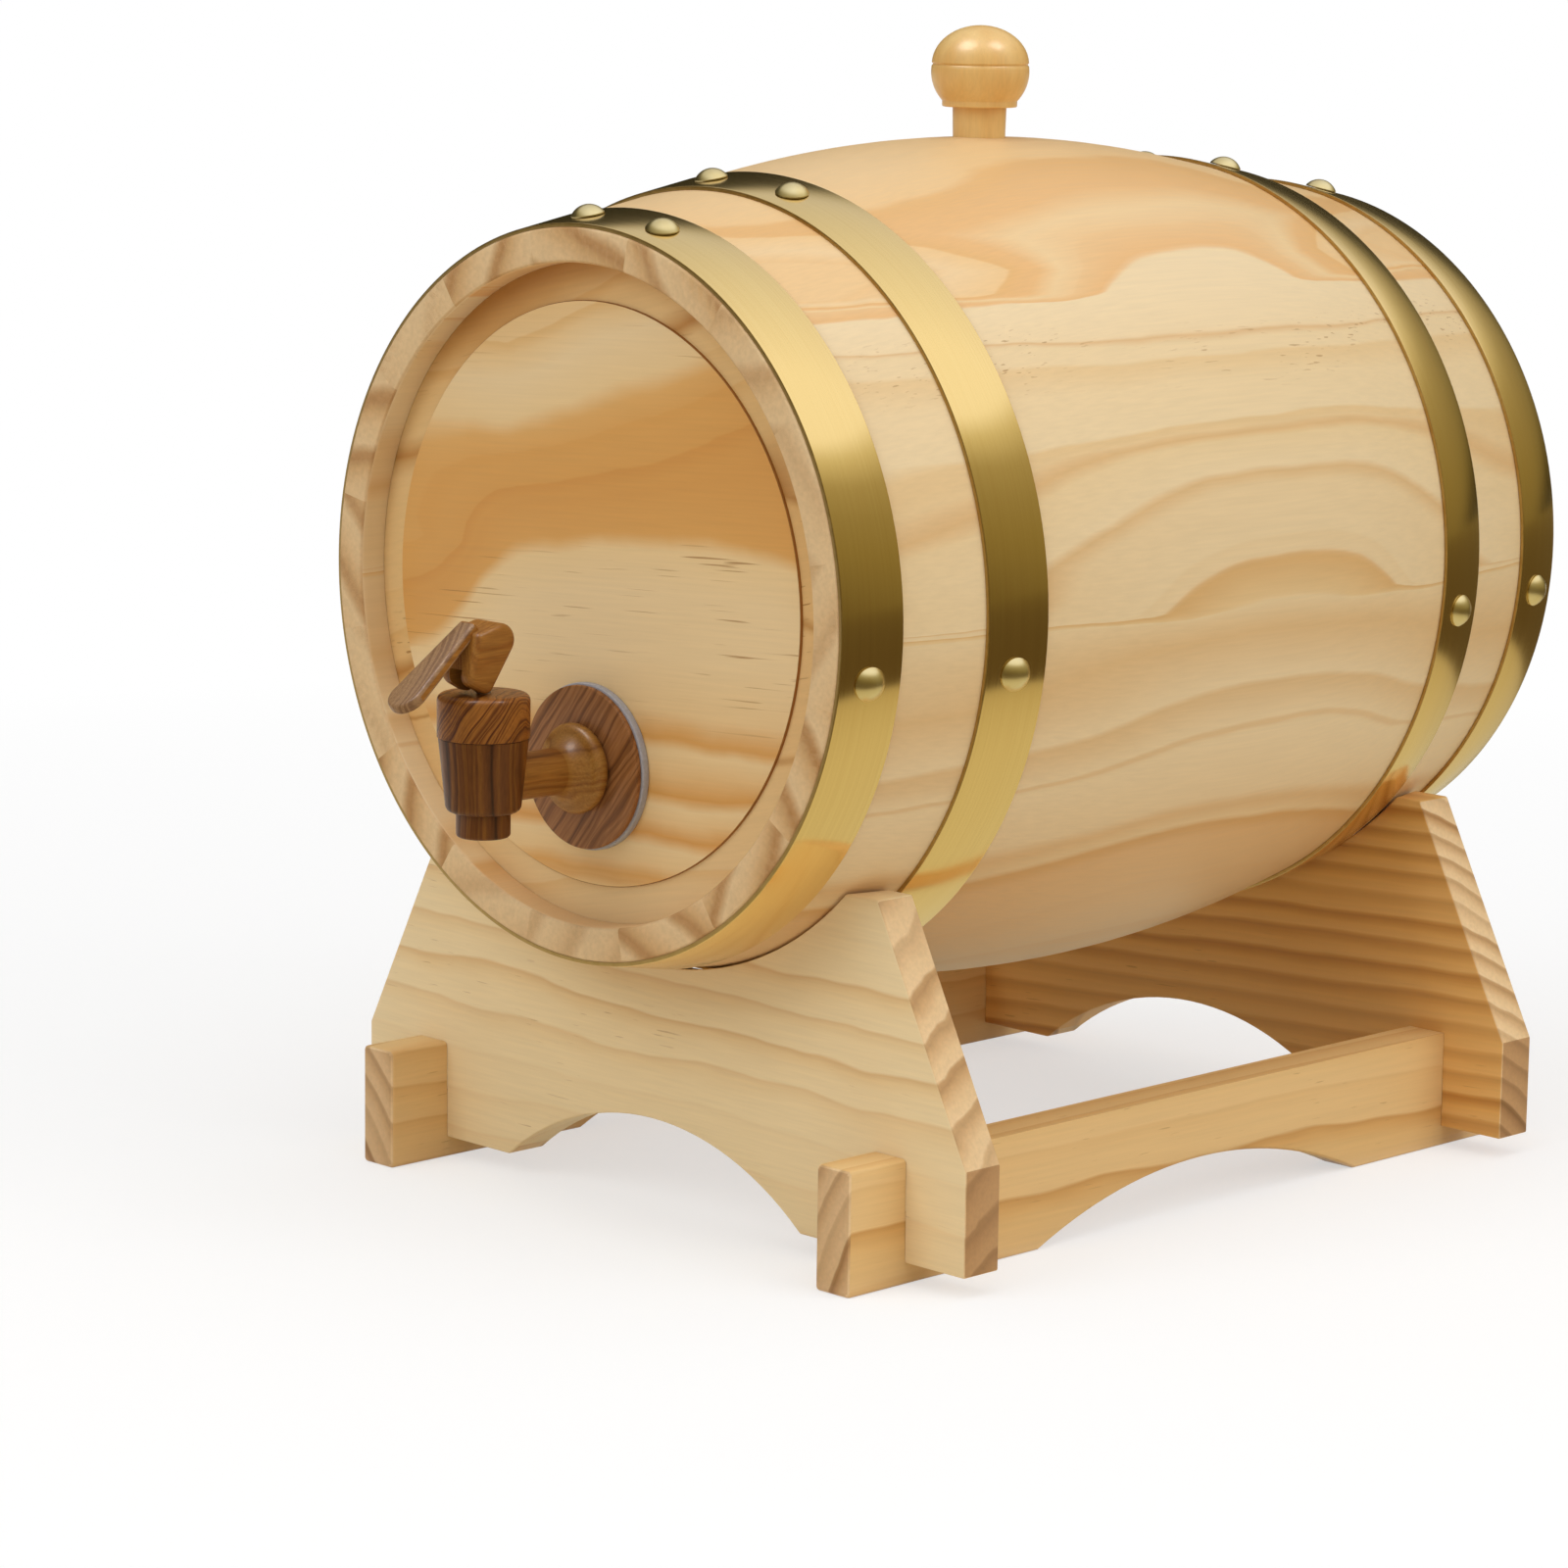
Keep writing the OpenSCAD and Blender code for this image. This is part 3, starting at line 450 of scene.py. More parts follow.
washerSilicone = speckleMaterial("siliconeWasherMoulded", dict(
    metallic=0.0, rough=0.5, ior=1.41, grain=(0.6, 0.6, 0.6), stops=[(0.3, "#A3A1A5"), (0.7, "#B1AFB3")]))
stemSteel = speckleMaterial("steelStemDrawn", dict(
    metallic=1.0, rough=0.3, ior=1.5, grain=(0.2, 0.2, 3), stops=[(0.3, "#A6A6A6"), (0.7, "#BDBDBD")]))
print("materials ready:", len(bpy.data.materials))


# mesh helpers: shapes are drawn in mm and turned into metres when the piece is made
mergeGap = 0.0005
holeSteps = 48  # sides of a round hole


def arcPoints(center, radius, start, end, steps):
    turns = [radians(start + (end - start) * i / steps) for i in range(steps + 1)]
    return [(center[0] + radius * cos(a), center[1] + radius * sin(a)) for a in turns]


def outlineFace(bm, points, rounds=(), segments=3):
    verts = [bm.verts.new((a, 0, b)) for a, b in points]
    bm.faces.new(verts)
    for radius, places in rounds:
        corners = [verts[i] for i in places]
        bmesh.ops.bevel(bm, geom=corners, offset=radius, offset_type="OFFSET", segments=segments,
                        profile=0.5, affect="VERTICES", material=-1)
    return bm.faces[:]


# a closed outline of (radius, height) points turned full circle about Z
def turnedForm(points, rounds=(), steps=96, segments=3):
    bm = bmesh.new()
    outlineFace(bm, points, rounds, segments)
    bmesh.ops.delete(bm, geom=bm.faces[:], context="FACES_ONLY")
    onAxis = [e for e in bm.edges if all(abs(v.co.x) < 1e-6 for v in e.verts)]
    bmesh.ops.delete(bm, geom=onAxis, context="EDGES")
    bmesh.ops.spin(bm, geom=bm.verts[:] + bm.edges[:], cent=(0, 0, 0), axis=(0, 0, 1),
                   angle=2 * pi, steps=steps, use_merge=True, use_duplicate=False)
    closeUp(bm)
    return bm


def closeUp(bm):
    bmesh.ops.remove_doubles(bm, verts=bm.verts[:], dist=mergeGap)
    loose = [v for v in bm.verts if not v.link_faces]
    bmesh.ops.delete(bm, geom=loose, context="VERTS")
    bmesh.ops.recalc_face_normals(bm, faces=bm.faces[:])


def move(bm, offset):
    bmesh.ops.translate(bm, verts=bm.verts[:], vec=offset)
    return bm


def turn(bm, angle, axis, about=(0, 0, 0)):
    bmesh.ops.rotate(bm, verts=bm.verts[:], cent=about, matrix=Matrix.Rotation(radians(angle), 3, axis))
    return bm


# a closed outline of (across, height) points given a thickness along Y
def sweptBoard(points, thick):
    bm = bmesh.new()
    faces = outlineFace(bm, points)
    out = bmesh.ops.extrude_face_region(bm, geom=faces, use_keep_orig=True)
    far = [v for v in out["geom"] if isinstance(v, bmesh.types.BMVert)]
    bmesh.ops.translate(bm, verts=far, vec=(0, thick, 0))
    closeUp(bm)
    return bm


def softenEdges(bm, edges, radius, segments=3):
    bmesh.ops.bevel(bm, geom=edges, offset=radius, offset_type="OFFSET", segments=segments,
                    profile=0.5, affect="EDGES", clamp_overlap=True, material=-1)


def sharpEdges(bm, least=25):
    return [e for e in bm.edges if len(e.link_faces) == 2 and e.calc_face_angle(0) > radians(least)]


# joins or cuts one shape with another and leaves a plain mesh
def combined(bm, tool, operation):
    meshes, objects = [], []
    for name, part in (("base", bm), ("tool", tool)):
        mesh = bpy.data.meshes.new(name)
        part.to_mesh(mesh)
        part.free()
        meshes.append(mesh)
        objects.append(bpy.data.objects.new(name, mesh))
        bpy.context.scene.collection.objects.link(objects[-1])
    change = objects[0].modifiers.new("change", "BOOLEAN")
    change.object, change.operation, change.solver = objects[1], operation, "EXACT"
    bpy.context.view_layer.update()
    result = bmesh.new()
    evaluated = objects[0].evaluated_get(bpy.context.evaluated_depsgraph_get())
    result.from_mesh(evaluated.to_mesh())
    evaluated.to_mesh_clear()
    for thing in objects:
        bpy.data.objects.remove(thing)
    for mesh in meshes:
        bpy.data.meshes.remove(mesh)
    return result


def addPiece(bm, name, node, body, materials, crease=30):
    bmesh.ops.scale(bm, verts=bm.verts[:], vec=(mm, mm, mm))
    mesh = bpy.data.meshes.new(name)
    bm.to_mesh(mesh)
    bm.free()
    for material in materials:
        mesh.materials.append(material)
    mesh.shade_smooth()
    mesh.set_sharp_from_angle(angle=radians(crease))
    piece = bpy.data.objects.new(name, mesh)
    bpy.context.scene.collection.objects.link(piece)
    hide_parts(node)
    if body:
        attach(piece, body)
    return piece


# the barrel: sixteen bowed staves
barrel = dict(
    endRadius=75.2, slope=10.1, straight=60, wall=8, count=16, rimWidth=7.1, recess=6.4, groove=3,
    grooveBack=11.4, rimRound=0.5, innerRound=1.0, bowSteps=20, turnSteps=10, rimDepth=0.7, rimFacing=0.3,
    bungOffset=3.5, bungHole=5.9, bungTaper=0.05, holeBelow=20, holeAbove=4,
    grainTilt=20, grainSpread=45, grainStep=0.618)
bowHalf = halfLength - barrel["straight"]
bowRadius = bowHalf / sin(radians(barrel["slope"]))
bowCenter = bellyRadius - bowRadius
rimRadius = barrel["endRadius"] - barrel["rimWidth"]
stavePitch = 360 / barrel["count"]


def woodRadius(depth):
    return barrel["endRadius"] + depth * tan(radians(barrel["slope"]))


def staveOutline():
    slope, steps = barrel["slope"], barrel["bowSteps"]
    groove, back = rimRadius + barrel["groove"], halfLength - barrel["grooveBack"]
    front = halfLength - barrel["recess"]
    inside = woodRadius(barrel["grooveBack"]) - barrel["wall"] / cos(radians(slope))
    outer = arcPoints((bowCenter, 0), bowRadius, slope, -slope, steps)
    inner = arcPoints((bowCenter, 0), bowRadius - barrel["wall"], -slope, slope, steps)
    frontEnd = [(inside, back), (groove, back), (groove, front), (rimRadius, front), (rimRadius, halfLength)]
    rearEnd = [(a, -b) for a, b in reversed(frontEnd)]
    frontRim, rearRim = [(barrel["endRadius"], end) for end in (halfLength, -halfLength)]
    return [frontRim] + outer + [rearRim] + rearEnd + inner + frontEnd


# lays a form along the barrel, so that its height runs towards the front or the rear
def alongBarrel(bm, rear=False):
    if rear:
        turn(bm, 180, "X")
    return move(turn(bm, 90, "X"), barrelMiddle)


def stave(index):
    points = staveOutline()
    outerRim = [0, barrel["bowSteps"] + 2]
    innerRim = [barrel["bowSteps"] + 3, len(points) - 1]
    bm = bmesh.new()
    outlineFace(bm, points, [(barrel["rimRound"], outerRim), (barrel["innerRound"], innerRim)])
    turn(bm, 90 + (index - 0.5) * stavePitch, "Z")
    bmesh.ops.spin(bm, geom=bm.verts[:] + bm.edges[:] + bm.faces[:], cent=(0, 0, 0), axis=(0, 0, 1),
                   angle=radians(stavePitch), steps=barrel["turnSteps"], use_duplicate=False)
    alongBarrel(bm)
    closeUp(bm)
    if index == 0:
        hole = barrel["bungHole"]
        drop = barrel["bungTaper"] * barrel["wall"]
        low, high = bellyRadius - barrel["holeBelow"], bellyRadius + barrel["holeAbove"]
        bore = turnedForm([(0, low), (hole - drop, low), (hole, high), (0, high)], steps=holeSteps)
        move(bore, barrelMiddle + Vector((0, barrel["bungOffset"], 0)))
        bm = combined(bm, bore, "DIFFERENCE")
    for face in bm.faces:
        depth = halfLength - abs(face.calc_center_median().y - midY)
        onRim = depth < barrel["rimDepth"] and abs(face.normal.y) > barrel["rimFacing"]
        face.material_index = 1 if onRim else 0
    name = "bung_stave" if index == 0 else f"stave_{index}"
    piece = addPiece(bm, name + "_wood", name, "barrel", [stavePine, rimPine])
    turns = piece.data.attributes.new("grainTurn", "FLOAT", "POINT")
    tilt = barrel["grainTilt"] + barrel["grainSpread"] * (index * barrel["grainStep"] % 1)
    grain = radians(90 + index * stavePitch + (tilt if index % 3 else -tilt))
    turns.data.foreach_set("value", [grain] * len(piece.data.vertices))


for index in range(barrel["count"]):
    stave(index)
print("staves ready:", barrel["count"])


# heads: raised panel, small step, bevelled border and a tongue in the staves' groove
head = dict(panelDepth=4.8, step=0.7, border=7.8, back=13.8, tongue=4.8, backBevel=4, gap=0.1,
            edgeRound=0.3, tapHole=6.1, holeDepth=80)


def headForm(rear):
    panel = rimRadius - head["border"]
    edge, groove = rimRadius - head["gap"], rimRadius + barrel["groove"] - head["gap"]
    face, back = -barrel["recess"] - head["gap"], -barrel["recess"] - head["gap"] - head["tongue"]
    bm = turnedForm([
        (0, -head["panelDepth"]), (panel, -head["panelDepth"]), (panel, -head["panelDepth"] - head["step"]),
        (edge, face), (groove, face), (groove, back), (edge, back),
        (rimRadius - head["backBevel"], -head["back"]), (0, -head["back"])],
        [(head["edgeRound"], [1])], steps=128)
    move(bm, (0, 0, halfLength))
    alongBarrel(bm, rear)
    if not rear:
        radius, depth = head["tapHole"], head["holeDepth"]
        hole = turnedForm([(0, 0), (radius, 0), (radius, depth), (0, depth)], steps=holeSteps)
        turn(hole, -90, "X")
        bm = combined(bm, move(hole, tapMiddle), "DIFFERENCE")
    # the upright step round the panel is darker, end grain with painted shade for the shadow line at the
    # step, and the border has its own streaks, with painted shade at its top
    for face in bm.faces:
        place = face.calc_center_median() - barrelMiddle
        outside = Vector((place.x, place.z)).length - panel
        if halfLength - abs(place.y) < barrel["recess"] + head["gap"] * 2:
            if abs(outside) < head["edgeRound"] / 2:
                face.material_index = 1
            elif outside > 0:
                face.material_index = 2
    return bm


for name, rear in (("front_head", False), ("rear_head", True)):
    addPiece(headForm(rear), name + "_panel", name, "barrel", [headPine, stepPineShaded, borderPineShaded])
print("heads ready")


# hoops and their domed rivets
hoop = dict(width=14.6, thick=0.8, gap=0.05, round=0.25, steps=192, edgeFacing=0.6,
            depths=dict(end=0.4, quarter=35.5))
rivet = dict(diameter=7, height=2.2, foot=0.25, shank=2.4, length=5, steps=40, domeSteps=8,
             angles=dict(front=(77.5, 94, -7, 187), rear=(81.5, 98, -7, 187)))


def hoopForm(depth, rear):
    wall = hoop["thick"] / cos(radians(barrel["slope"]))
    inner = [woodRadius(d) + hoop["gap"] for d in (depth, depth + hoop["width"])]
    high, low = halfLength - depth, halfLength - depth - hoop["width"]
    bm = turnedForm(
        [(inner[0], high), (inner[0] + wall, high), (inner[1] + wall, low), (inner[1], low)],
        [(hoop["round"], [1, 2])], steps=hoop["steps"])
    # edge faces take the darker brass that carries painted shade
    for face in bm.faces:
        face.material_index = 1 if abs(face.normal.z) > hoop["edgeFacing"] else 0
    return alongBarrel(bm, rear)


# brushing runs round the hoop: u follows the turn and v the width
def brushMap(piece):
    layer = piece.data.uv_layers.new(name="brushed")
    for face in piece.data.polygons:
        about = face.center / mm - barrelMiddle
        start = atan2(about.z, about.x)
        for corner in face.loop_indices:
            place = piece.data.vertices[piece.data.loops[corner].vertex_index].co / mm - barrelMiddle
            angle = atan2(place.z, place.x)
            angle -= 2 * pi * round((angle - start) / (2 * pi))
            layer.data[corner].uv = (angle, place.y / hoop["width"])


def rivetForm(depth, rear):
    half, rise = rivet["diameter"] / 2, rivet["height"] - rivet["foot"]
    dome = (half ** 2 + rise ** 2) / (2 * rise)
    seat, shank = hoop["gap"] * 2 + hoop["thick"], rivet["shank"] / 2
    top = seat + rivet["height"]
    start = degrees(atan2(dome - rise, half))
    outline = [(0, -rivet["length"]), (shank, -rivet["length"]), (shank, seat), (half, seat)]
    outline += arcPoints((0, top - dome), dome, start, 90, rivet["domeSteps"])
    group = bmesh.new()
    for angle in rivet["angles"]["rear" if rear else "front"]:
        one = turnedForm(outline, steps=rivet["steps"])
        turn(one, 90 - barrel["slope"], "Y")
        inset = depth + hoop["width"] / 2
        move(one, (woodRadius(inset), 0, halfLength - inset))
        turn(one, -angle if rear else angle, "Z")
        mesh = bpy.data.meshes.new("rivet")
        one.to_mesh(mesh)
        one.free()
        group.from_mesh(mesh)
        bpy.data.meshes.remove(mesh)
    return alongBarrel(group, rear)


for end, rear in (("front", False), ("rear", True)):
    for place, depth in hoop["depths"].items():
        name = f"{end}_{place}"
        band = addPiece(hoopForm(depth, rear), name + "_hoop_band", name + "_hoop", "barrel",
                        [hoopBrass, edgeBrassShaded])
        brushMap(band)
        addPiece(rivetForm(depth, rear), name + "_rivet_heads", name + "_rivets", "barrel",
                 [rivetBrass])
print("hoops and rivets ready")


# turned bung, with heights counted from the barrel axis
bung = dict(reach=2, neck=5.85, taper=0.05, showing=6.4, collar=8.15, collarHeight=1.3, collarRound=0.3,
            knob=10.65, bowl=7.8, bowlDrop=0.2, bowlReach=1.25, cap=8.4, groove=0.4, steps=14, turnSteps=80)


def swell(radius, center, reach, start, end, steps):
    heights = [start + (end - start) * i / steps for i in range(steps + 1)]
    return [(radius * sqrt(max(0, 1 - ((h - center) / reach) ** 2)), h) for h in heights]


def bungForm():
    bottom, top = bellyRadius - barrel["wall"] - bung["reach"], bellyRadius + bung["showing"]
    base = top + bung["collarHeight"]
    groove = base + bung["bowl"]
    outline = [
        (0, bottom), (bung["neck"] - (top - bottom) * bung["taper"] / 2, bottom), (bung["neck"], top),
        (bung["collar"], top), (bung["collar"], base)]
    outline += swell(bung["knob"], groove - bung["bowl"] * bung["bowlDrop"], bung["bowl"] * bung["bowlReach"],
                     base, groove - bung["groove"], bung["steps"])
    outline += [(bung["knob"] - bung["groove"], groove)]
    cap = arcPoints((0, 0), 1, degrees(asin(bung["groove"] / bung["cap"])), 90, bung["steps"])
    outline += [(a * (bung["knob"] - bung["groove"] / 4), groove + b * bung["cap"]) for a, b in cap]
    bm = turnedForm(outline, [(bung["collarRound"], [3, 4])], steps=bung["turnSteps"])
    return move(bm, barrelMiddle + Vector((0, barrel["bungOffset"], 0)))


addPiece(bungForm(), "bung_turned", "bung", "bung", [bungBeech], crease=40)
print("bung ready")


# stand: two cradle boards lapped over two rails
stand = dict(
    thick=10, inset=22.3, foot=91.5, tip=65.8, tipDrop=56.1, footHeight=26.4, base=4.6,
    archWidth=89.8, archHeight=16.2, archSteps=28, railInner=65.4, railThick=9.6, railHeight=26.1,
    railHalf=107.7, railArch=103, railArchHeight=11.2, lap=15.35, lapMargin=1, gap=0.1,
    seatGap=0.55, seatPast=2, seatSteps=192, edgeRound=0.9, endFacing=0.6, squareFacing=0.95)


# a board's outline: the arch below, then its right half and the mirror image of that
def boardOutline(width, height, base, right):
    radius = (width ** 2 / 4 + height ** 2) / (2 * height)
    edge = degrees(acos(width / 2 / radius))
    arch = arcPoints((0, base + height - radius), radius, 180 - edge, edge, stand["archSteps"])
    return arch + right + [(-a, b) for a, b in reversed(right)]


# Rounds a board's edges, apart from those in its laps, which lie between two places across and two heights.
# The grain runs along X here: faces that cut across it take the second material, or the third if square,
# which on the cradles is a darker copy with painted shade.
def finishBoard(bm, lap, heights):
    (inner, outer), (low, high) = [
        (least - stand["lapMargin"], most + stand["lapMargin"]) for least, most in (lap, heights)]
    outside = [e for e in sharpEdges(bm) if not all(
        inner < abs(v.co.x) < outer and low < v.co.z < high for v in e.verts)]
    softenEdges(bm, outside, stand["edgeRound"])
    bm.normal_update()
    for face in bm.faces:
        across = abs(face.normal.x)
        face.material_index = (across > stand["endFacing"]) + (across > stand["squareFacing"])


def cradleForm(rear):
    base, gap = stand["base"], stand["gap"]
    slot = (stand["railInner"] - gap, stand["railInner"] + stand["railThick"] + gap)
    roof = stand["lap"] + gap
    tipZ = axisZ - stand["tipDrop"]
    right = [
        (slot[0], base), (slot[0], roof), (slot[1], roof), (slot[1], base), (stand["foot"], base),
        (stand["foot"], stand["footHeight"]), (stand["tip"], tipZ)]
    outline = boardOutline(stand["archWidth"], stand["archHeight"], base, right)
    bm = move(sweptBoard(outline, stand["thick"]), (0, stand["inset"] - halfLength, 0))
    start, end = stand["inset"] - stand["seatPast"], stand["inset"] + stand["thick"] + stand["seatPast"]
    radii = [woodRadius(depth) + stand["seatGap"] for depth in (start, end)]
    near, far = halfLength - start, halfLength - end
    seat = turnedForm([(0, far), (radii[1], far), (radii[0], near), (0, near)], steps=stand["seatSteps"])
    turn(seat, 90, "X")
    bm = combined(bm, move(seat, (0, 0, axisZ)), "DIFFERENCE")
    finishBoard(bm, slot, (0, roof))
    if rear:
        turn(bm, 180, "Z")
    return move(bm, (0, midY, 0))


def railForm(side):
    low = stand["lap"] - stand["gap"]
    outer = halfLength - stand["inset"]
    notch = (outer - stand["thick"] - stand["gap"], outer + stand["gap"])
    top, half = stand["railHeight"], stand["railHalf"]
    right = [(half, 0), (half, top), (notch[1], top), (notch[1], low), (notch[0], low), (notch[0], top)]
    outline = boardOutline(stand["railArch"], stand["railArchHeight"], 0, right)
    bm = sweptBoard(outline, stand["railThick"])
    finishBoard(bm, notch, (low, top))
    turn(bm, 90, "Z")
    inner = stand["railInner"]
    return move(bm, (inner + stand["railThick"] if side > 0 else -inner, midY, 0))


for node, bm in (("front_cradle", cradleForm(False)), ("rear_cradle", cradleForm(True)),
                 ("left_rail", railForm(-1)), ("right_rail", railForm(1))):
    addPiece(bm, node + "_board", node, "stand", boardWoods[node])
print("stand ready")


# tap, with heights counted from the shank axis and distances from its upright axis
tap = dict(
    top=9.2, foot=7.6, rise=9.1, depth=6.1, spout=5.55, spoutLength=5.1, outlet=3.4, chamber=5.6, seat=-3.6,
    socket=7.5, socketDepth=5.2, waterway=3.2, neck=4.85, bell=9.45, bellLength=7.6, lip=1.8, reach=26.5,
    shank=6, shankEnd=49.7, edgeRound=1.4, spoutRound=0.7, flareSteps=10, lipSteps=12, past=1,
    bonnet=9.45, bonnetTop=18.2, ceilingShare=1 / 3, stemHole=1.55, hollow=5.25, plugBottom=5.2, gap=0.1,
    seamRound=0.25, flange=17, flangeThick=1.4, flangeRound=0.4, washer=17.4, washerThick=1.8,
    washerRound=0.35, ringHole=6.1, ringSteps=112)


def alongShank(bm):
    return turn(bm, -90, "X")


def tapBodyForm():
    bottom = -tap["depth"] - tap["spoutLength"]
    body = turnedForm([
        (0, bottom), (tap["spout"], bottom), (tap["spout"], -tap["depth"]), (tap["foot"], -tap["depth"]),
        (tap["top"], tap["rise"]), (0, tap["rise"])],
        [(tap["spoutRound"], [1]), (tap["edgeRound"], [3])], segments=5)
    waist, sweep = tap["bell"] - tap["lip"], tap["bellLength"] - 2 * tap["lip"]
    bellStart, steps = tap["reach"] - tap["bellLength"], tap["flareSteps"]
    flare = [(tap["neck"] + (waist - tap["neck"]) * (i / steps) ** 2, bellStart + sweep * i / steps)
             for i in range(steps + 1)]
    lip = arcPoints((waist, tap["reach"] - tap["lip"]), tap["lip"], -90, 90, tap["lipSteps"])
    neck = turnedForm([(0, 0), (tap["neck"], 0)] + flare + lip + [
        (tap["shank"], tap["reach"]), (tap["shank"], tap["shankEnd"]), (0, tap["shankEnd"])])
    bm = combined(body, alongShank(neck), "UNION")
    floor = tap["rise"] - tap["socketDepth"]
    under, over, end = bottom - tap["past"], tap["rise"] + tap["past"], tap["shankEnd"] + tap["past"]
    hollow = turnedForm([
        (0, under), (tap["outlet"], under), (tap["outlet"], tap["seat"]), (tap["chamber"], tap["seat"]),
        (tap["chamber"], floor), (tap["socket"], floor), (tap["socket"], over), (0, over)])
    bm = combined(bm, hollow, "DIFFERENCE")
    bore = turnedForm([(0, 0), (tap["waterway"], 0), (tap["waterway"], end), (0, end)])
    bm = combined(bm, alongShank(bore), "DIFFERENCE")
    # the neck takes the darker copy of the wood (painted shade), the bell the lighter copy (painted light)
    for face in bm.faces:
        place = face.calc_center_median()
        if place.y > tap["foot"] and abs(place.z) < tap["bell"]:
            face.material_index = 2 if place.y > bellStart else 1
    return move(bm, tapMiddle)


def bonnetForm():
    ceiling = tap["rise"] + (tap["bonnetTop"] - tap["rise"]) * tap["ceilingShare"]
    plug, seam = tap["socket"] - tap["gap"], tap["rise"] + tap["gap"]
    bm = turnedForm([
        (tap["stemHole"], ceiling), (tap["hollow"], ceiling), (tap["hollow"], tap["plugBottom"]),
        (plug, tap["plugBottom"]), (plug, seam), (tap["bonnet"], seam), (tap["bonnet"], tap["bonnetTop"]),
        (tap["stemHole"], tap["bonnetTop"])],
        [(tap["seamRound"], [5]), (tap["edgeRound"], [6])], segments=5)
    return move(bm, tapMiddle)


def ringForm(start, thick, radius, edge):
    bm = turnedForm([
        (tap["ringHole"], start), (radius, start), (radius, start + thick), (tap["ringHole"], start + thick)],
        [(edge, [1, 2])], steps=tap["ringSteps"])
    return move(alongShank(bm), tapMiddle)


addPiece(tapBodyForm(), "tap_body_turned", "tap_body", "barrel",
         [bodyRosewood, neckRosewoodShaded, bellRosewoodLit])
addPiece(bonnetForm(), "tap_bonnet_turned", "tap_bonnet", "barrel", [bonnetRosewood])
disc = ringForm(tap["reach"], tap["flangeThick"], tap["flange"], tap["flangeRound"])
addPiece(disc, "tap_flange_disc", "tap_flange", "barrel", [flangeRosewood])
ring = ringForm(tap["reach"] + tap["flangeThick"], tap["washerThick"], tap["washer"], tap["washerRound"])
addPiece(ring, "front_washer_ring", "front_washer", "barrel", [washerSilicone])

# lever, drawn forward and up from its pin, then hung by the droop
lever = dict(
    droop=38, hubWidth=9.4, hubRound=1.3, slot=3.6, slotBack=-2.8, slotTop=3.3, slotRoom=20,
    pinHole=1.15, pinCover=1.6, pinSteps=32,
    rounds=((5, -1.9, 2), (5.8, 1, 2.4), (-3.3, 2.3, 3.5), (0.5, 6.2, 1.4)), roundSteps=48,
    paddleLength=23.5, paddleBack=1.6, paddleTop=8.9, paddleThick=2.4, root=2.2, tip=4.2, tipSteps=20,
    paddleRound=0.7, paddleFrom=4, paddleMargin=0.1, past=1)
leverPith = pinMiddle + Vector((-14, 0, -6))
# the paddle's greyer wood is painted sheen, the sky reflected in its top face
paddleRosewoodSheen = rosewoodMaterial("rosewoodPaddlePaintedSheen", dict(
    pith=leverPith, lean=(lever["droop"], 0, 90), drift=3, stripe=1.2, stops=sheenGreyStops))
leverRosewood = rosewoodMaterial("rosewoodLeverCarved", dict(
    pith=leverPith, lean=(0, 0, 90), drift=7, stripe=2.0, stops=oliveStops))


def leverForm():
    side = lever["hubWidth"] / 2
    bm = bmesh.new()
    steps = lever["roundSteps"]
    for forward, up, radius in lever["rounds"]:
        for a, b in arcPoints((forward, up), radius, 0, 360 - 360 / steps, steps - 1):
            bm.verts.new((-side, -a, b))
            bm.verts.new((side, -a, b))
    bmesh.ops.convex_hull(bm, input=bm.verts[:])
    bmesh.ops.dissolve_limit(bm, angle_limit=radians(1), verts=bm.verts[:], edges=bm.edges[:])
    closeUp(bm)
    softenEdges(bm, sharpEdges(bm, least=60), lever["hubRound"], segments=5)
    outline = [(-lever["root"], -lever["paddleBack"]), (lever["root"], -lever["paddleBack"])]
    outline += arcPoints((0, lever["paddleLength"] - lever["tip"]), lever["tip"], 0, 180, lever["tipSteps"])
    paddle = sweptBoard(outline, lever["paddleThick"])
    softenEdges(paddle, sharpEdges(paddle), lever["paddleRound"], segments=4)
    under = lever["paddleTop"] - lever["paddleThick"]
    move(turn(paddle, 90, "X"), (0, 0, under))
    bm = combined(bm, paddle, "UNION")
    slot, room = bmesh.new(), lever["slotRoom"]
    bmesh.ops.create_cube(slot, size=1)
    bmesh.ops.scale(slot, verts=slot.verts[:], vec=(lever["slot"], room, room))
    move(slot, (0, -lever["slotBack"] - room / 2, lever["slotTop"] - room / 2))
    bm = combined(bm, slot, "DIFFERENCE")
    left, right, radius = -side - lever["past"], side - lever["pinCover"], lever["pinHole"]
    hole = turnedForm([(0, left), (radius, left), (radius, right), (0, right)], steps=lever["pinSteps"])
    bm = combined(bm, turn(hole, 90, "Y"), "DIFFERENCE")
    # the paddle takes the greyer wood with painted sheen
    for face in bm.faces:
        place = face.calc_center_median()
        onPaddle = place.z > under - lever["paddleMargin"] and place.y < -lever["paddleFrom"]
        face.material_index = 1 if onPaddle else 0
    turn(bm, lever["droop"], "X")
    return move(bm, pinMiddle)


addPiece(leverForm(), "tap_lever_carved", "tap_lever", "lever",
         [leverRosewood, paddleRosewoodSheen])

# seat cup: its flange stays under the bonnet, and the wall between stretches as the stem goes down
seatCup = dict(plateTop=2.7, flangeUnder=4.0, rows=6)


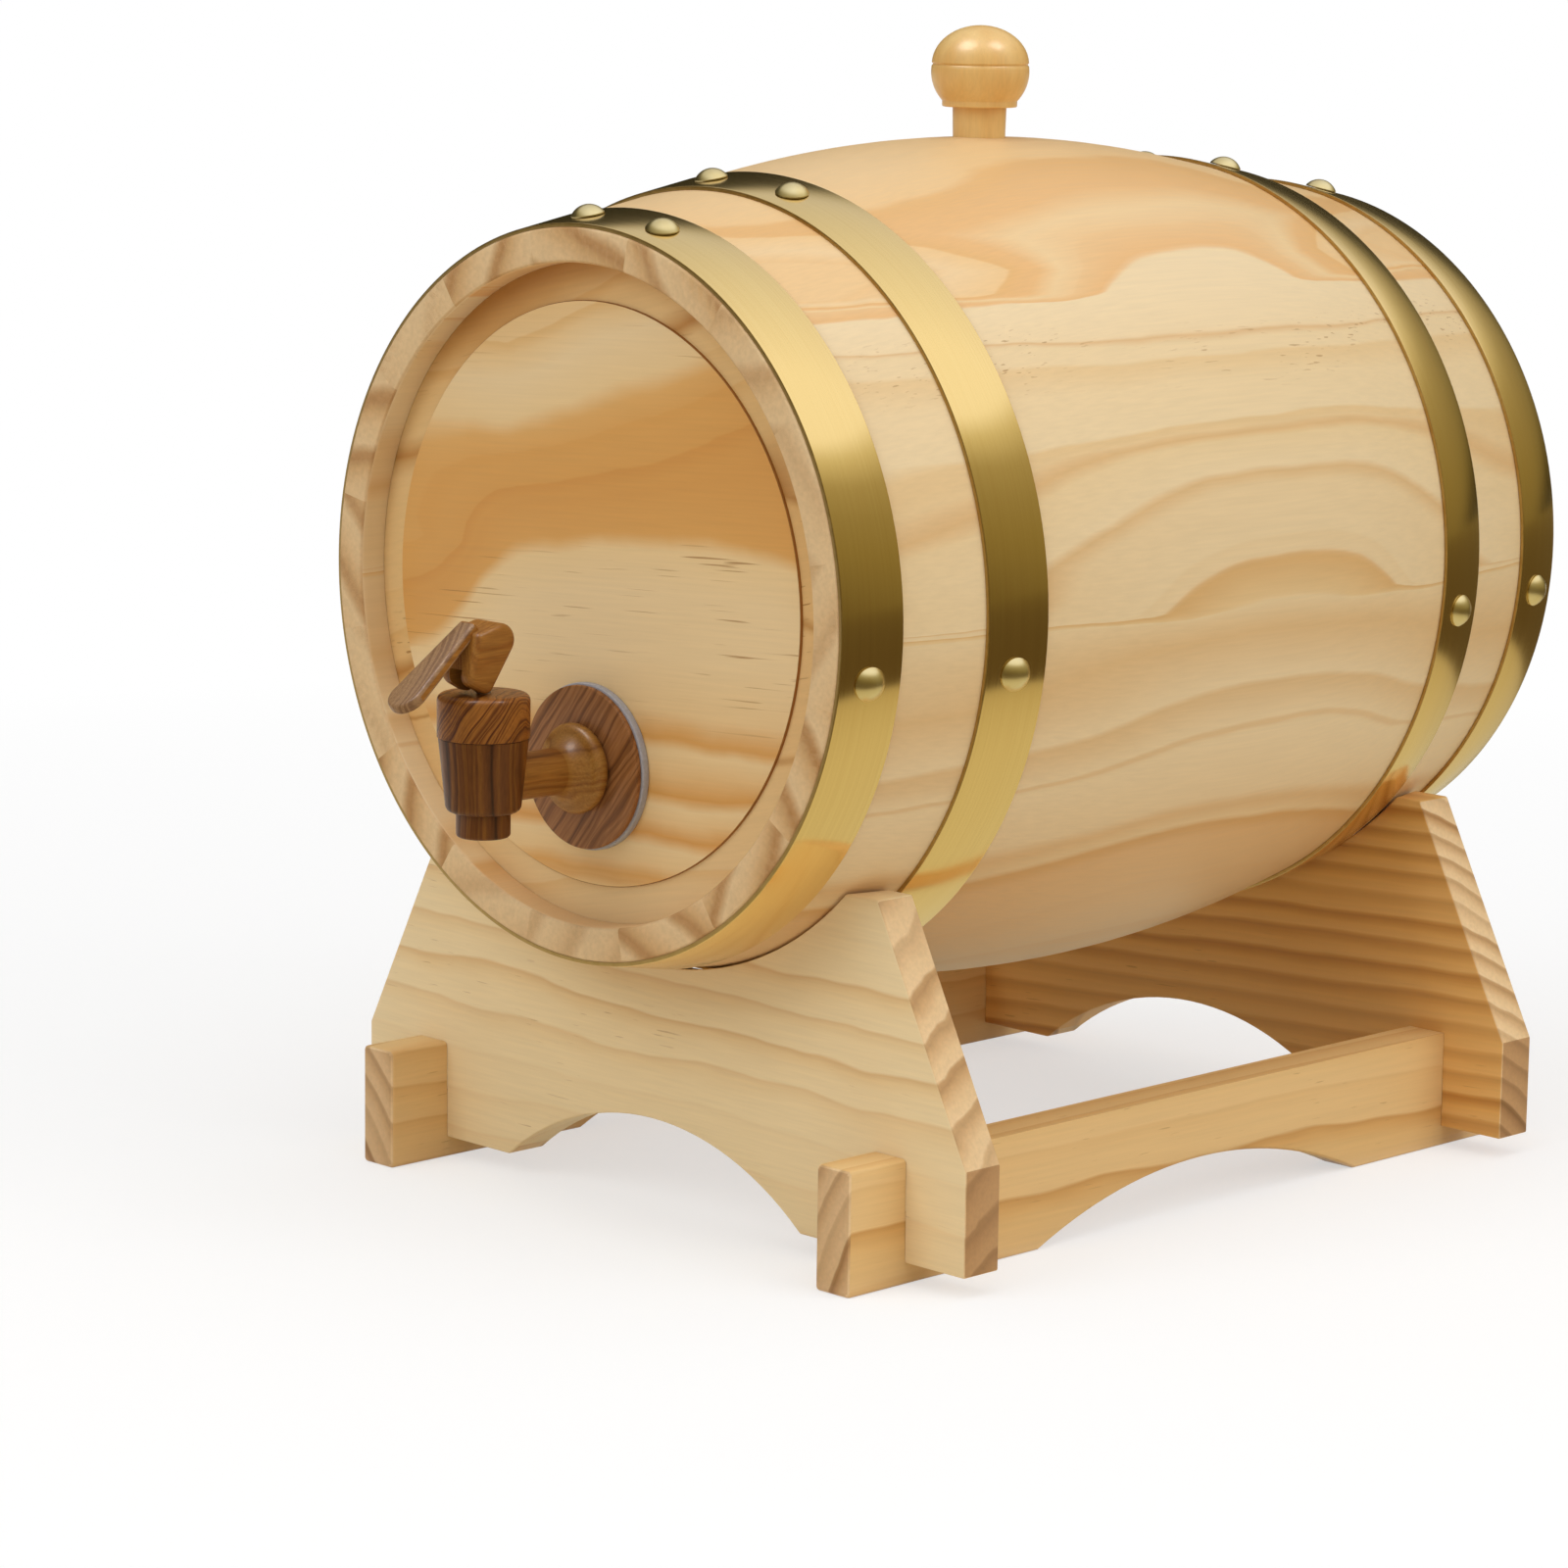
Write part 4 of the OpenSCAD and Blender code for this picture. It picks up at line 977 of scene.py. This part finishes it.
def cupForm():
    bm = bmesh.new()
    bm.from_mesh(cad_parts["seat_cup"].data)
    bmesh.ops.scale(bm, verts=bm.verts[:], vec=(1 / mm, 1 / mm, 1 / mm))
    for row in range(seatCup["rows"] + 1):
        rise = seatCup["plateTop"] + (seatCup["flangeUnder"] - seatCup["plateTop"]) * row / seatCup["rows"]
        bmesh.ops.bisect_plane(bm, geom=bm.verts[:] + bm.edges[:] + bm.faces[:], dist=0.001,
                               plane_co=tapMiddle + Vector((0, 0, rise)), plane_no=(0, 0, 1))
    return bm


cupPiece = addPiece(cupForm(), "seat_cup_moulded", "seat_cup", None, [washerSilicone])
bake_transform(cupPiece)

# small pieces whose CAD shape stays
for name, material in (("inner_washer", washerSilicone), ("backing_nut", bodyRosewood),
                       ("valve_stem", stemSteel), ("lever_pin", stemSteel)):
    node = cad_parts[name]
    node.data.materials.clear()
    node.data.materials.append(material)
print("tap ready")


# studio: pale floor that keeps the shadow, white surround, soft lamps, and what the brass and the
# turned pieces mirror, partly painted reflections
studio = dict(
    target=(0, 0.02, 0.13), floorSize=6.0, floorColor="#E2D6C2", floorSeen="#B4B4B4", floorGlow=0.57,
    floorFade=(0.2, 0.7), surround=0.45,
    ringRadius=4.3, ringMiddle=(0, 0.06, 0), ringLift=0.002, ringBehind=(-0.25, 0), behindColor="#E6E2D8",
    ringStops=[(0, "#D2CDB4"), (200, "#CCC3A2"), (300, "#C0B48E"), (345, "#B8AC88"), (352, "#594A2C"),
               (900, "#5E5030"), (4300, "#75683F")],
    wallLean=(0, 0.2, 1), wallStops=[
        (-60, "#65562F"), (121, "#7A6D44"), (294, "#8A7D4F"), (428, "#95895F"), (555, "#A79C75"),
        (660, "#D6CFB2"), (725, "#FFFFFF")],
    fallOff=(-0.5, 0.38), fallOffTo=(0.64, 1), cornerLean=(0.6, 0, 1), corner=(0.1, 0.2), cornerTo=(0.2, 1),
    lamps=(
        dict(name="topPanel", place=(0.3, -0.1, 1.6), size=1.5, power=9.3, mirrored=False),
        dict(name="sidePanel", place=(1.5, 0.4, 0.9), size=1.2, power=6.3, mirrored=False),
        dict(name="frontPanel", place=(-0.2, -1.4, 1.2), size=1.0, power=6.3, mirrored=False),
        dict(name="leftBox", place=(-0.19, -0.5, 1.31), size=0.6, power=12.5, mirrored=True),
        dict(name="rightBox", place=(0.53, 0.28, 1.28), size=0.42, power=7.5, mirrored=True)),
    turned=("bung_turned", "tap_body_turned", "tap_bonnet_turned", "tap_lever_carved"))


def seenRays(tree):
    path = addNode(tree, "LightPath").node.outputs
    seen = path["Is Camera Ray"]
    for kind in ("Is Glossy Ray", "Is Transmission Ray"):
        seen = addNode(tree, "Math", [seen, path[kind]], operation="ADD")
    return seen


def stagePiece(name, bm, material, onlyReflected=False):
    mesh = bpy.data.meshes.new(name)
    bm.to_mesh(mesh)
    bm.free()
    mesh.materials.append(material)
    thing = bpy.data.objects.new(name, mesh)
    bpy.context.scene.collection.objects.link(thing)
    if onlyReflected:
        thing.visible_camera = False
        thing.visible_diffuse = False
        thing.visible_transmission = False
        thing.visible_shadow = False


material, tree, shader = newMaterial("floorPaper", {
    "Roughness": 0.9, "Specular IOR Level": 0.0, "Emission Color": (1, 1, 1, 1)})
seen = seenRays(tree)
place = addNode(tree, "TexCoord", output="Object")
away = addNode(tree, "VectorMath", [place], operation="LENGTH", output="Value")
fade = addNode(tree, "MapRange", [away, *studio["floorFade"], 1, 0])
glow = addNode(tree, "MapRange", [away, *studio["floorFade"], studio["floorGlow"], 1])
paper = addNode(tree, "VectorMath", {0: linearColor(studio["floorSeen"])[:3], "Scale": fade},
                operation="SCALE")
paper = addNode(tree, "Mix", {0: seen, 6: linearColor(studio["floorColor"]), 7: paper},
                data_type="RGBA", output=2)
tree.links.new(paper, shader.inputs["Base Color"])
glow = addNode(tree, "Math", [seen, glow], operation="MULTIPLY")
tree.links.new(glow, shader.inputs["Emission Strength"])
bm = bmesh.new()
bmesh.ops.create_grid(bm, x_segments=1, y_segments=1, size=studio["floorSize"] / 2)
stagePiece("floor", bm, material)

# painted reflection: a glowing disc on the floor, seen by reflections alone, a pale table top with painted
# shade and a dark surround, coloured by the way from the middle
material, tree, shader = newMaterial("flagPaintedReflection", {
    "Base Color": (0, 0, 0, 1), "Specular IOR Level": 0.0, "Emission Strength": 1.0})
place = addNode(tree, "TexCoord", output="Object")
away = addNode(tree, "VectorMath", [place, studio["ringMiddle"]], operation="DISTANCE", output="Value")
behind = addNode(tree, "MapRange", [addNode(tree, "SeparateXYZ", [place]), *studio["ringBehind"], 1, 0])
tint = heightColor(tree, away, studio["ringStops"])
tint = addNode(tree, "Mix", {0: behind, 6: tint, 7: linearColor(studio["behindColor"])},
               data_type="RGBA", output=2)
tree.links.new(tint, shader.inputs["Emission Color"])
bm = bmesh.new()
bmesh.ops.create_circle(bm, cap_ends=True, segments=96, radius=studio["ringRadius"])
move(bm, (0, 0, studio["ringLift"]))
stagePiece("flag", bm, material, onlyReflected=True)

# two soft boxes light nothing, and only the turned pieces mirror them
turnedPieces = bpy.data.collections.new("turnedPieces")
for name in studio["turned"]:
    turnedPieces.objects.link(bpy.data.objects[name])
for lamp in studio["lamps"]:
    light = bpy.data.lights.new(lamp["name"], "AREA")
    light.size = lamp["size"]
    light.energy = lamp["power"]
    thing = bpy.data.objects.new(lamp["name"], light)
    thing.location = lamp["place"]
    thing.visible_glossy = lamp["mirrored"]
    thing.visible_diffuse = not lamp["mirrored"]
    if lamp["mirrored"]:
        thing.light_linking.receiver_collection = turnedPieces
    aim = Vector(studio["target"]) - Vector(lamp["place"])
    thing.rotation_euler = aim.to_track_quat("-Z", "Y").to_euler()
    bpy.context.scene.collection.objects.link(thing)

world = bpy.data.worlds.new("whiteSurround")
bpy.context.scene.world = world
world.use_nodes = True
tree = world.node_tree
background = tree.nodes["Background"]
strength = addNode(tree, "MapRange", [seenRays(tree), 0, 1, studio["surround"], 1])
tree.links.new(strength, background.inputs["Strength"])
# painted reflection: reflections alone see a made-up room with darker lower walls, by their direction in
# thousandths, darker still to one side and in one low corner
direction = addNode(tree, "TexCoord", output="Generated")
level, side, corner = [
    addNode(tree, "VectorMath", [direction, lean], operation="DOT_PRODUCT", output="Value")
    for lean in (studio["wallLean"], (1, 0, 0), studio["cornerLean"])]
room = heightColor(tree, level, studio["wallStops"])
side = addNode(tree, "MapRange", [side, *studio["fallOff"], *studio["fallOffTo"]])
corner = addNode(tree, "MapRange", [corner, *studio["corner"], *studio["cornerTo"]])
shade = addNode(tree, "Math", [side, corner], operation="MULTIPLY")
room = addNode(tree, "VectorMath", {0: room, "Scale": shade}, operation="SCALE")
glossy = addNode(tree, "LightPath", output="Is Glossy Ray")
room = addNode(tree, "Mix", {0: glossy, 6: (1, 1, 1, 1), 7: room}, data_type="RGBA", output=2)
tree.links.new(room, background.inputs["Color"])

# camera at the photographed angle, for a square picture of 1600 pixels
view = dict(place=(762.8, -785.25, 277.67), azimuth=45.301, elevation=10.04, roll=-0.775,
            pixels=1600, focal=5201.1, axisLeft=5.1, axisDown=2.7, sensor=36, clipEnd=20)
lens = bpy.data.cameras.new("camera")
lens.sensor_width = view["sensor"]
lens.lens = view["focal"] / view["pixels"] * view["sensor"]
lens.shift_x = view["axisLeft"] / view["pixels"]
lens.shift_y = view["axisDown"] / view["pixels"]
lens.clip_end = view["clipEnd"]
camera = bpy.data.objects.new("camera", lens)
camera.matrix_world = (
    Matrix.Translation(Vector(view["place"]) * mm)
    @ Matrix.Rotation(radians(view["azimuth"]), 4, "Z")
    @ Matrix.Rotation(radians(90 - view["elevation"]), 4, "X")
    @ Matrix.Rotation(radians(-view["roll"]), 4, "Z"))
bpy.context.scene.collection.objects.link(camera)
bpy.context.scene.camera = camera
bpy.context.scene.view_settings.view_transform = "Standard"
print("studio and camera ready")
